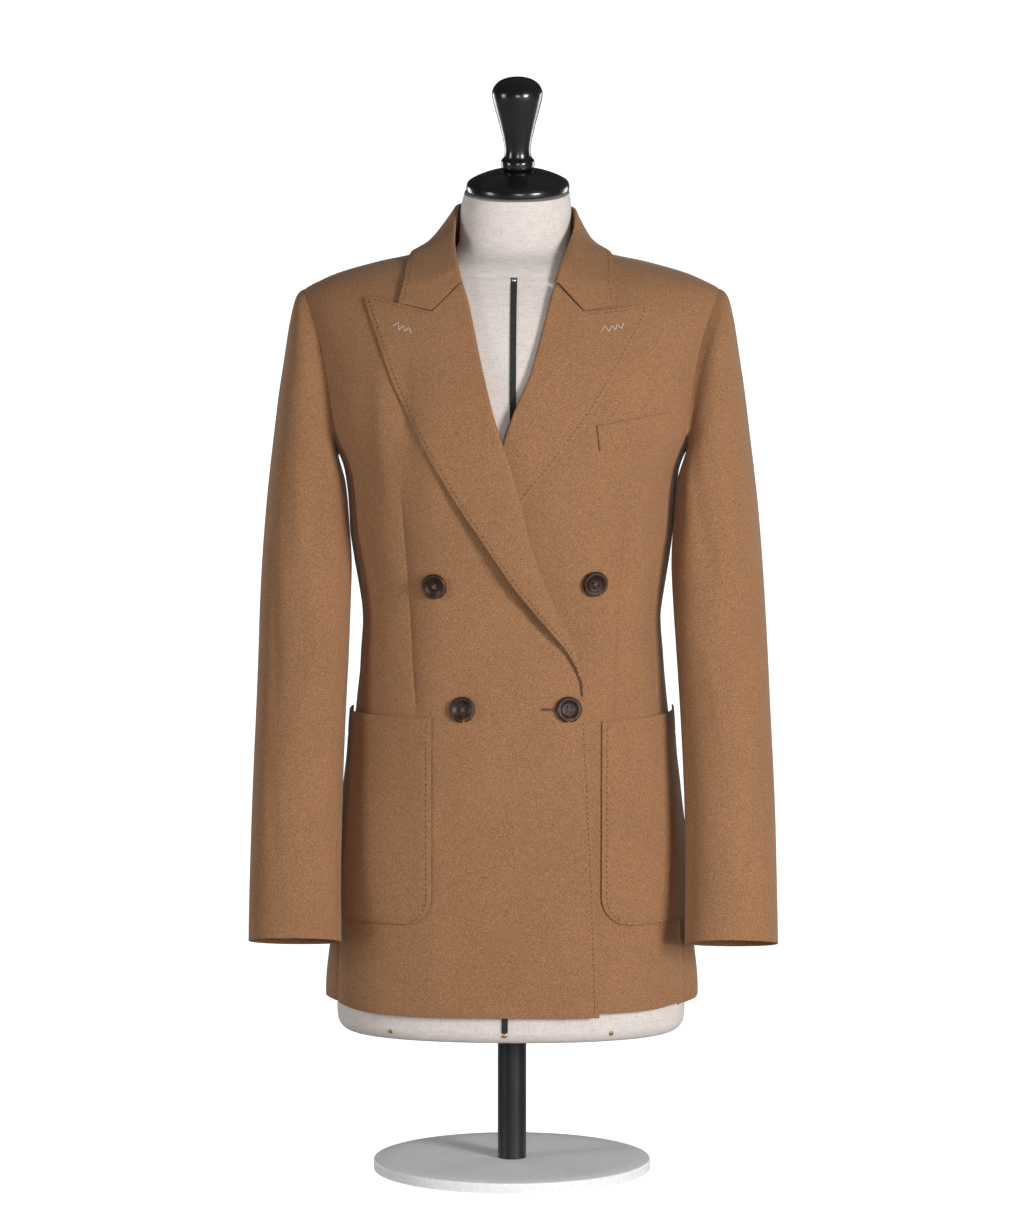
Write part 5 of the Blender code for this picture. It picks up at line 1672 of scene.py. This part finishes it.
def inside_edge(points: Array, inset: float, axis: int, last: bool) -> tuple[Array, Array]:
    """Line on a grid at a fixed distance inside one of its edges.

    Args:
        points: Grid of points.
        inset: Distance from the edge, in millimetres.
        axis: 0 for an edge that is a row, 1 for one that is a column.
        last: Whether the edge is the last row or column.

    Returns:
        Points of the line, and the direction away from the body at each.
    """
    facing = unit(np.cross(np.gradient(points, axis=1), np.gradient(points, axis=0)))
    away = facing[..., :1] * points[..., :1] + facing[..., 1:2] * points[..., 1:2]
    facing = facing * np.where(away < 0, -1.0, 1.0)
    grid = points if axis == 1 else points.transpose(1, 0, 2)
    normals = facing if axis == 1 else facing.transpose(1, 0, 2)
    if last:
        grid = grid[:, ::-1]
        normals = normals[:, ::-1]
    line = []
    out = []
    for row, directions in zip(grid, normals):
        run = np.concatenate([[0.0], np.cumsum(np.linalg.norm(np.diff(row, axis=0), axis=1))])
        reach = min(inset, run[-1] * 0.45)
        line.append([np.interp(reach, run, row[:, part]) for part in range(3)])
        out.append([np.interp(reach, run, directions[:, part]) for part in range(3)])
    return np.array(line), unit(np.array(out))


@dataclass
class ZigzagStitches:
    """White hand stitches in a zigzag across the lapel's outer corner."""

    name: str
    lapel: Lapel
    corners: Rows
    radius: float = 0.24

    def cloth_point(self, grid: Array, x: float, z: float) -> Array:
        """Point on the lapel over x and z."""
        off = (grid[..., 0] - x) ** 2 + (grid[..., 2] - z) ** 2
        row, column = np.unravel_index(np.argmin(off), off.shape)
        return np.array((x, grid[row, column][1] - self.radius * 0.8, z))

    def build(self) -> bpy.types.Object:
        """Make the zigzag."""
        grid = self.lapel.lying(160, np.linspace(0.0, 1.0, 120))
        spots = [self.cloth_point(grid, x, z) for x, z in self.corners]
        lines = []
        for a, b in zip(spots, spots[1:]):
            t = np.linspace(0.0, 1.0, 7)[:, None]
            line = a + (b - a) * t
            line[:, 1] -= 0.2 * np.sin(np.pi * t[:, 0])
            lines.append(line)
        piece = add_object(self.name, tube_mesh(self.name, lines, self.radius, 8), Dye.ZIGZAG)
        return settle(piece, "camel_wool")


@dataclass
class Buttonhole:
    """Worked buttonhole: close red brown stitches round a slit, ending in an eye."""

    name: str
    x: float
    z: float
    height: HeightRule
    length: float = 13.0
    eye: float = 1.0
    stitch: float = 1.3
    pitch: float = 0.62
    tilt: float = 0.0

    def rim(self) -> Array:
        """Closed line round the slit, in x and z about its middle."""
        half = self.length / 2
        top = [(-half + share * (self.length - 2.4), 0.15) for share in np.linspace(0, 1, 20)]
        turns = np.radians(np.linspace(150, -150, 16))
        bulb = [(half - self.eye + self.eye * math.cos(turn), self.eye * math.sin(turn)) for turn in turns]
        foot = [(x, -z) for x, z in reversed(top)]
        return np.array(top + bulb + foot)

    def build(self) -> bpy.types.Object:
        """Make the ring of stitches."""
        rim = self.rim()
        run = np.concatenate([[0.0], np.cumsum(np.linalg.norm(np.diff(rim, axis=0), axis=1))])
        lines = []
        for spot in np.arange(0.3, run[-1], self.pitch):
            here = np.array([np.interp(spot, run, rim[:, part]) for part in range(2)])
            there = np.array([np.interp(spot + 0.2, run, rim[:, part]) for part in range(2)])
            ahead = (there - here) / max(np.linalg.norm(there - here), 1e-9)
            out = np.array((-ahead[1], ahead[0]))
            t = np.linspace(0.0, 1.0, 5)[:, None]
            flat = here + out * t * self.stitch
            x = self.x + flat[:, 0]
            z = self.z + flat[:, 1]
            lift = self.height(x, z) + 0.10 + 0.28 * np.sin(np.pi * t[:, 0])
            lines.append(BODY.drape(x, z, lift))
        piece = add_object(self.name, tube_mesh(self.name, lines, 0.30, 5), Dye.BUTTONHOLE)
        return settle(piece, "camel_wool_dark")


# ---------------------------------------------------------------- dress form
@dataclass
class DressForm:
    """Padded linen torso with a seam at the neck, a centre tape and small nails."""

    section_power: float = 2.3
    sides: int = 128
    rows: int = 190
    cap_tilt: float = 12.0
    tape_half: float = 2.9
    tape_wall: float = 0.6
    tape_gap: float = 0.5
    sections: Rows = (
        # z, half width, front, back, shift x, shift y
        (138.0, 152.0, 96.0, 101.0, -1.0, 0.0),
        (139.5, 160.0, 104.0, 109.0, -1.0, 0.0),
        (143.5, 165.5, 109.5, 114.5, -1.0, 0.0),
        (150.0, 168.6, 112.5, 117.5, -1.0, 0.0),
        (165.0, 169.4, 113.0, 118.0, -1.0, 0.0),
        (220.0, 166.6, 112.0, 118.5, -0.5, 0.0),
        (300.0, 160.8, 111.0, 118.5, 0.0, 0.0),
        (360.0, 153.5, 109.0, 114.5, 0.0, 0.0),
        (400.0, 148.0, 107.0, 109.5, 0.0, 0.0),
        (440.0, 142.5, 103.0, 103.0, 0.0, 0.0),
        (482.0, 138.5, 98.0, 96.0, 0.0, 0.0),
        (511.0, 136.5, 95.5, 91.5, 0.0, 0.0),
        (540.0, 135.0, 94.0, 88.5, 0.0, 0.0),
        (569.0, 137.0, 96.0, 87.5, 0.0, 0.0),
        (600.0, 142.0, 102.5, 89.5, 0.0, 0.0),
        (645.0, 147.0, 112.5, 95.0, 0.0, 0.0),
        (690.0, 150.0, 118.0, 100.0, 0.0, 0.0),
        (724.0, 151.5, 117.0, 103.0, 0.0, 0.0),
        (765.0, 152.5, 112.5, 105.0, 0.0, 0.0),
        (805.0, 150.0, 103.5, 104.0, 0.0, 0.0),
        (838.0, 140.0, 91.5, 96.0, 0.0, 0.0),
        (862.0, 116.0, 78.0, 81.0, 0.0, 0.0),
        (878.0, 95.0, 67.5, 73.0, 0.5, 0.0),
        (889.0, 66.0, 57.5, 59.0, 1.4, 1.0),
        (899.0, 55.0, 52.6, 52.0, 2.2, 1.0),
        (911.0, 53.6, 51.0, 51.0, 3.0, 1.0),
        (935.0, 53.2, 51.0, 51.0, 3.9, 0.0),
        (954.0, 49.8, 50.4, 50.4, 5.1, -3.0),
    )
    tape: Rows = (
        # z, x
        (868.0, 4.6),
        (840.0, 4.6),
        (805.0, 4.7),
        (765.0, 4.8),
        (724.0, 5.0),
        (690.0, 4.8),
        (645.0, 4.0),
        (600.0, 3.2),
        (569.0, 2.8),
        (540.0, 2.4),
        (511.0, 2.0),
        (482.0, 1.6),
        (440.0, 1.0),
        (400.0, 0.4),
        (360.0, -0.2),
        (300.0, -1.0),
        (220.0, -2.0),
        (165.0, -2.8),
        (150.0, -3.0),
    )
    nails: tuple[tuple[float, float, str], ...] = (
        (4.6, 866.0, "STEEL_NAIL"),
        (-3.0, 147.5, "BRASS_NAIL"),
        (-113.0, 148.0, "BRASS_NAIL"),
        (98.0, 148.0, "BRASS_NAIL"),
    )

    def point(self, z: Array, degrees: Array, height: Array | float = 0.0) -> Array:
        """Points of the form; 0 degrees is centre front."""
        table = Table(self.sections)
        half, front, back, shift_x, shift_y = (table.at(column, z) for column in range(1, 6))
        across = power(np.sin(np.radians(degrees)), 2 / self.section_power)
        ahead = power(np.cos(np.radians(degrees)), 2 / self.section_power)
        depth = np.where(ahead > 0, front, back)
        x = (half + height) * across + shift_x
        return np.stack(np.broadcast_arrays(x, -(depth + height) * ahead + shift_y, z), axis=-1)

    def neck_seam(self, degrees: Array) -> Array:
        """Height of the neck seam: lowest at centre front."""
        return 888.0 - 20.0 * smooth(np.cos(np.radians(degrees)), -0.1, 1.0)

    def torso(self) -> bpy.types.Object:
        """Torso and neck, closed at the foot and under the cap."""
        z = np.concatenate([
            np.linspace(138.0, 152.0, 24)[:-1],
            np.linspace(152.0, 850.0, 120)[:-1],
            np.linspace(850.0, 950.0, self.rows - 142),
        ])[:, None]
        degrees = (np.arange(self.sides) * 360 / self.sides)[None, :]
        off = z - self.neck_seam(degrees)
        height = -0.7 * bell(off, 1.3) + 0.25 * bell(off - 3, 2.5) + 0.25 * bell(off + 3, 2.5)
        panel = np.abs(((degrees + 45) % 90) - 45) * math.pi / 180 * 120
        height = height - 0.35 * bell(panel, 1.3) * (z < 862)
        points = self.point(z, degrees, height)
        slope = math.tan(math.radians(self.cap_tilt))
        top = points[-1].copy()
        top[:, 2] = 950.0 + (top[:, 1] + 3.0) * slope
        share = smooth(z, 925.0, 950.0)[..., None]
        points = points + (top[None] - points[-1][None]) * share
        mesh = grid_mesh("form_torso_linen", points, around=True)
        shape = bmesh.new()
        shape.from_mesh(mesh)
        shape.verts.ensure_lookup_table()
        count = len(shape.verts)
        shape.faces.new([shape.verts[index] for index in reversed(range(self.sides))])
        shape.faces.new([shape.verts[index] for index in range(count - self.sides, count)])
        shape.to_mesh(mesh)
        shape.free()
        piece = add_object("form_torso_linen", mesh, Dye.LINEN)
        piece.data.set_sharp_from_angle(angle=math.radians(60))
        return settle(piece, "natural_linen", "form_torso")

    def face_point(self, z: Array, x: Array, height: Array | float) -> Array:
        """Point on the front of the form at x and z."""
        table = Table(self.sections)
        ratio = (x - table.at(4, z)) / table.at(1, z)
        degrees = np.degrees(np.arcsin(power(ratio, self.section_power / 2)))
        return self.point(z, degrees, height)

    def tape_piece(self) -> bpy.types.Object:
        """Tape down the centre front."""
        table = Table([(-z, x) for z, x in self.tape])
        z = np.linspace(self.tape[0][0], self.tape[-1][0], 200)[:, None]
        across = np.linspace(-self.tape_half, self.tape_half, 7)[None, :]
        x = table.at(1, -z) + across
        points = self.face_point(z, x, self.tape_gap + self.tape_wall)
        piece = Cloth(self.tape_wall, 0.15).sew("form_tape_cotton", points, Dye.TAPE, True)
        return settle(piece, "black_tape", "form_tape")

    def nail(self, index: int, x: float, z: float, dye: Dye) -> bpy.types.Object:
        """Domed nail head on the form."""
        dome = Turned(((0.0, 1.3), (1.3, 1.0), (2.1, 0.4), (2.3, 0.0), (0.0, -0.6)), 28, 3, (0, 3, 4))
        name = "form_nail_" + str(index)
        piece = add_object(name, dome.mesh(name), dye)
        over = self.tape_gap + self.tape_wall + 0.2 if abs(x) < 8 else 0.3
        here = self.face_point(np.array(z), np.array(x), over)
        aside = self.face_point(np.array(z), np.array(x + 1.0), over)
        above = self.face_point(np.array(z + 1.0), np.array(x), over)
        facing = Vector(np.cross(aside - here, above - here))
        turn = facing.to_track_quat("Z", "Y").to_matrix().to_4x4()
        piece.matrix_world = Matrix.Translation(Vector(here) * MM) @ turn
        return settle(piece, "black_steel")

    def build(self) -> list[bpy.types.Object]:
        """Make the torso, the tape and the nails."""
        made = [self.torso(), self.tape_piece()]
        for index, (x, z, dye) in enumerate(self.nails):
            made.append(self.nail(index, x, z, Dye[dye]))
        return made


# ---------------------------------------------------------------- stand
@dataclass
class Stand:
    """Neck cap and turned handle above, pole and foot plate below."""

    tilt: float = 12.0
    cap_centre: tuple[float, float, float] = (5.8, -3.0, 955.6)
    cap: Rows = (
        # radius, height above the cap plane
        (0.0, 17.0),
        (13.0, 16.6),
        (26.0, 14.4),
        (38.0, 10.2),
        (46.0, 6.2),
        (48.6, 4.0),
        (49.6, 1.2),
        (49.6, -2.4),
        (48.4, -3.6),
        (0.0, -3.6),
    )
    handle: Rows = (
        # radius, height above the cap plane
        (0.0, 106.0),
        (9.0, 105.2),
        (16.5, 102.4),
        (21.5, 98.0),
        (24.2, 92.0),
        (24.0, 86.0),
        (21.6, 76.0),
        (17.8, 62.0),
        (14.4, 48.0),
        (12.7, 38.0),
        (12.6, 33.0),
        (13.6, 28.5),
        (15.8, 25.6),
        (16.2, 22.0),
        (15.6, 18.6),
        (13.5, 17.2),
        (0.0, 17.2),
    )
    form_bottom: float = 138.0
    pole_radius: float = 13.9
    plate_radius: float = 135.0
    plate_depth: float = 10.0

    def turned(self, name: str, profile: Rows, sharp: tuple[int, ...], dye: Dye, slot: str, tilted: bool) -> bpy.types.Object:
        """Make one turned part in place of its node."""
        shape = Turned(profile, 128, 6, sharp)
        piece = add_object(name + "_turned", shape.mesh(name + "_turned"), dye)
        piece.data.set_sharp_from_angle(angle=math.radians(35))
        if tilted:
            lean = Matrix.Rotation(math.radians(self.tilt), 4, "X")
            piece.matrix_world = Matrix.Translation(Vector(self.cap_centre) * MM) @ lean
        return settle(piece, slot, name)

    def build(self) -> list[bpy.types.Object]:
        """Make the cap, handle, pole and plate."""
        last = len(self.cap) - 1
        made = [self.turned("neck_cap", self.cap, (0, 5, 8, last), Dye.LACQUER, "black_lacquer", True)]
        last = len(self.handle) - 1
        made.append(self.turned("neck_handle", self.handle, (0, 15, last), Dye.LACQUER, "black_lacquer", True))
        foot = self.plate_depth + 0.05
        head = self.form_bottom - 0.05
        rod = ((0.0, head), (self.pole_radius, head), (self.pole_radius, foot), (0.0, foot))
        made.append(self.turned("pole", rod, (0, 1, 2, 3), Dye.BLACK_STEEL, "black_steel", False))
        plate = (
            (0.0, self.plate_depth),
            (self.plate_radius - 1.5, self.plate_depth),
            (self.plate_radius - 0.4, self.plate_depth - 0.4),
            (self.plate_radius, self.plate_depth - 1.5),
            (self.plate_radius, 0.0),
            (0.0, 0.0),
        )
        made.append(self.turned("foot_plate", plate, (0, 1, 2, 3, 4, 5), Dye.WHITE_STEEL, "white_steel", False))
        return made


# ---------------------------------------------------------------- studio
@dataclass
class Studio:
    """White floor and soft lights, with the camera in front."""

    distance: float = 4.5
    swing: float = 2.0
    eye: float = 0.8635
    aim: float = 0.541
    lens: float = 136.0
    room: float = 14.0

    def soft_light(self, name: str, spot: tuple[float, float, float], size: tuple[float, float], power_w: float) -> None:
        """Rectangular light turned to the middle of the blazer."""
        lamp = bpy.data.lights.new(name, "AREA")
        lamp.shape = "RECTANGLE"
        lamp.size, lamp.size_y = size
        lamp.energy = power_w
        item = bpy.data.objects.new(name, lamp)
        bpy.context.collection.objects.link(item)
        item.location = spot
        aim = Vector((0.0, 0.0, 0.55)) - item.location
        item.rotation_euler = aim.to_track_quat("-Z", "Y").to_euler()

    def floor(self) -> None:
        """Plain white floor and round wall that show no horizon."""
        mesh = bpy.data.meshes.new("floor")
        turns = np.radians(np.arange(0, 360, 5))
        rim = [(self.room * math.cos(turn), self.room * math.sin(turn)) for turn in turns]
        count = len(rim)
        spots = [(x, y, 0.0) for x, y in rim] + [(x, y, self.room) for x, y in rim]
        walls = [((i + 1) % count, i, i + count, (i + 1) % count + count) for i in range(count)]
        mesh.from_pydata(spots, [], [tuple(range(count)), *walls])
        piece = bpy.data.objects.new("floor", mesh)
        bpy.context.collection.objects.link(piece)
        material = bpy.data.materials.new("white floor")
        material.use_nodes = True
        tree = material.node_tree
        shader = tree.nodes["Principled BSDF"]
        shader.inputs["Base Color"].default_value = (0.45, 0.45, 0.45, 1.0)
        shader.inputs["Roughness"].default_value = 0.9
        glow = tree.nodes.new("ShaderNodeEmission")
        glow.inputs["Strength"].default_value = 1.2
        path = tree.nodes.new("ShaderNodeLightPath")
        mixed = tree.nodes.new("ShaderNodeMixShader")
        tree.links.new(path.outputs["Is Camera Ray"], mixed.inputs["Fac"])
        tree.links.new(shader.outputs[0], mixed.inputs[1])
        tree.links.new(glow.outputs[0], mixed.inputs[2])
        tree.links.new(mixed.outputs[0], tree.nodes["Material Output"].inputs["Surface"])
        mesh.materials.append(material)

    def build(self) -> None:
        """Set up the floor, world, lights and camera."""
        self.floor()
        world = bpy.data.worlds.new("white studio")
        world.use_nodes = True
        tree = world.node_tree
        back = tree.nodes["Background"]
        back.inputs["Color"].default_value = (1.0, 1.0, 1.0, 1.0)
        back.inputs["Strength"].default_value = 0.075
        bright = tree.nodes.new("ShaderNodeBackground")
        bright.inputs["Strength"].default_value = 1.2
        path = tree.nodes.new("ShaderNodeLightPath")
        mixed = tree.nodes.new("ShaderNodeMixShader")
        tree.links.new(path.outputs["Is Camera Ray"], mixed.inputs["Fac"])
        tree.links.new(back.outputs[0], mixed.inputs[1])
        tree.links.new(bright.outputs[0], mixed.inputs[2])
        tree.links.new(mixed.outputs[0], tree.nodes["World Output"].inputs["Surface"])
        bpy.context.scene.world = world
        self.soft_light("key", (2.25, -2.55, 0.98), (0.9, 1.0), 92.0)
        self.soft_light("front", (0.3, -3.4, 0.80), (1.0, 1.0), 24.0)
        self.soft_light("fill", (-3.0, -1.6, 0.92), (0.8, 1.4), 31.0)
        self.soft_light("rear left", (2.4, 2.6, 0.75), (1.2, 1.4), 26.0)
        self.soft_light("rear right", (-2.4, 2.6, 0.75), (1.2, 1.4), 26.0)
        lens = bpy.data.cameras.new("camera")
        lens.lens = self.lens
        camera = bpy.data.objects.new("camera", lens)
        bpy.context.collection.objects.link(camera)
        turn = math.radians(self.swing)
        camera.location = (self.distance * math.sin(turn), -self.distance * math.cos(turn), self.eye)
        aim = Vector((0.0, 0.0, self.aim)) - camera.location
        camera.rotation_euler = aim.to_track_quat("-Z", "Y").to_euler()
        bpy.context.scene.camera = camera
        bpy.context.scene.view_settings.view_transform = "Standard"


# ---------------------------------------------------------------- the blazer
@dataclass
class Blazer:
    """All cloth pieces of the blazer with their buttons and hand stitching."""

    edge_inset: float = 4.8
    over_edge: Rows = (
        # z, x
        (160, 86.6),
        (250, 84.2),
        (338, 80.8),
        (403, 77.4),
        (449, 74.9),
        (466, 73.6),
    )
    over_neck: Rows = (
        # z, x
        (876, -53.6),
        (890, -60.0),
        (905, -66.0),
    )
    under_edge: Rows = (
        # z, x
        (160, -62.0),
        (300, -62.0),
        (449, -61.0),
        (480, -59.0),
    )
    under_neck: Rows = (
        # z, x
        (876, 53.6),
        (890, 60.0),
        (905, 66.0),
    )
    buttons: tuple[tuple[str, float, float, HeightRule, Dye, float], ...] = (
        ("button_waist_right", -67.9, 577.6, LAYERS.over, Dye.HORN, 8.0),
        ("button_waist_left", 81.6, 578.6, LAYERS.under, Dye.HORN, 24.0),
        ("button_lower_right", -42.4, 458.8, LAYERS.over, Dye.HORN_PALE, 4.0),
        ("button_lower_left", 57.0, 459.0, LAYERS.over, Dye.HORN_PALE, -6.0),
    )
    zigzags: tuple[Rows, Rows] = (
        # x, z
        (
            (-109.8, 822.4),
            (-104.4, 825.5),
            (-104.2, 818.4),
            (-99.2, 822.8),
            (-98.8, 817.2),
            (-94.5, 820.8),
            (-91.4, 814.9),
        ),
        (
            (87.7, 816.6),
            (90.9, 822.9),
            (94.8, 817.2),
            (97.8, 822.9),
            (101.4, 818.5),
            (102.6, 823.9),
            (106.6, 819.7),
            (109.0, 825.5),
        ),
    )
    right_sleeve: tuple[Fold, ...] = (
        Fold((138.0, 720.0), (138.0, 540.0), 3.2, 15.0),
        Fold((112.0, 740.0), (84.0, 560.0), 2.2, 9.0, 3.0),
        Fold((70.0, 700.0), (100.0, 520.0), -1.8, 9.0),
        Fold((40.0, 620.0), (62.0, 420.0), 1.6, 10.0, -4.0),
        Fold((112.0, 540.0), (78.0, 400.0), -1.5, 9.0),
        Fold((58.0, 420.0), (74.0, 290.0), 1.1, 9.0),
    )
    left_sleeve: tuple[Fold, ...] = (
        Fold((138.0, 720.0), (138.0, 540.0), 3.2, 15.0),
        Fold((110.0, 730.0), (80.0, 540.0), 2.0, 9.0, -3.0),
        Fold((66.0, 690.0), (94.0, 530.0), -1.6, 9.0),
        Fold((44.0, 600.0), (70.0, 430.0), 1.5, 10.0, 4.0),
        Fold((106.0, 520.0), (84.0, 380.0), -1.4, 8.0),
        Fold((62.0, 400.0), (80.0, 290.0), 1.0, 9.0),
    )

    def fronts(self) -> tuple[Front, Front]:
        """Over front on the wearer's right and under front on the wearer's left."""
        over = Front("front_right_over", Side.RIGHT, self.over_edge, self.over_neck, OVER_LAPEL, LAYERS.over, "camel_wool")
        under = Front(
            "front_left_under",
            Side.LEFT,
            self.under_edge,
            self.under_neck,
            UNDER_LAPEL,
            LAYERS.under,
            "camel_wool_dark",
            foot=0.0065,
        )
        return over, under

    def pockets(self) -> tuple[PatchPocket, PatchPocket]:
        """The two patch pockets."""
        right = PatchPocket(Side.RIGHT, 72.2, 450.5, 451.0, 253.4, 27.0, LAYERS.over)
        left = PatchPocket(Side.LEFT, 88.6, 447.0, 452.6, 252.4, 29.0, LAYERS.under)
        return right, left

    def stitch_runs(self, over: Front, pockets: Sequence[PatchPocket], collar: Collar) -> dict[str, list[tuple[Array, Array]]]:
        """Lines of hand stitching, by piece name."""
        runs: dict[str, list[tuple[Array, Array]]] = {}
        line, out = inside_edge(over.points(), self.edge_inset, 1, False)
        below = line[:, 2] < 458
        runs["stitching_front_edge"] = [(line[below], out[below])]
        for lapel in (OVER_LAPEL, UNDER_LAPEL):
            grid = lapel.lying(160, np.linspace(0.0, 1.0, 60))
            edge, out = inside_edge(grid, self.edge_inset, 1, True)
            top, top_out = inside_edge(grid, 3.6, 0, False)
            shown = edge[:, 2] > (474.0 if lapel.side is Side.RIGHT else 640.0)
            inner = np.linspace(0, 1, len(top)) > 0.30
            runs["stitching_" + lapel.name] = [(edge[shown], out[shown]), (top[inner], top_out[inner])]
        for pocket in pockets:
            grid = pocket.points()
            edges = [inside_edge(grid, self.edge_inset, axis, False) for axis in (1, 0)]
            runs["stitching_pocket_" + pocket.side.label] = edges
        runs["stitching_collar"] = [inside_edge(collar.points(), self.edge_inset, 1, True)]
        return runs

    def build(self) -> None:
        """Make every piece in the order a tailor would lay them."""
        over, under = self.fronts()
        over.build()
        under.build()
        for side in Side:
            SideBody(side).build()
            Back(side).build()
        OVER_LAPEL.build()
        UNDER_LAPEL.build()
        collar = Collar()
        collar.build()
        Sleeve(Side.RIGHT, "front_right_over_cloth", folds=self.right_sleeve).build()
        Sleeve(Side.LEFT, "front_left_under_cloth", folds=self.left_sleeve).build()
        pockets = self.pockets()
        for pocket in pockets:
            pocket.build()
        Welt().build()
        for name, x, z, height, dye, turn in self.buttons:
            Button(name, x, z, height, dye, turn).build()
        Buttonhole("buttonhole", 37.9, 459.3, LAYERS.over).build()
        ZigzagStitches("zigzag_right", OVER_LAPEL, self.zigzags[0]).build()
        ZigzagStitches("zigzag_left", UNDER_LAPEL, self.zigzags[1]).build()
        for name, lines in self.stitch_runs(over, pockets, collar).items():
            PickStitching().build(name, lines)


def main() -> None:
    """Build the stand, the form, the blazer and the studio."""
    logging.basicConfig(level=logging.INFO, format="%(message)s")
    Stand().build()
    DressForm().build()
    Blazer().build()
    Studio().build()


if __name__ == "__main__":
    main()
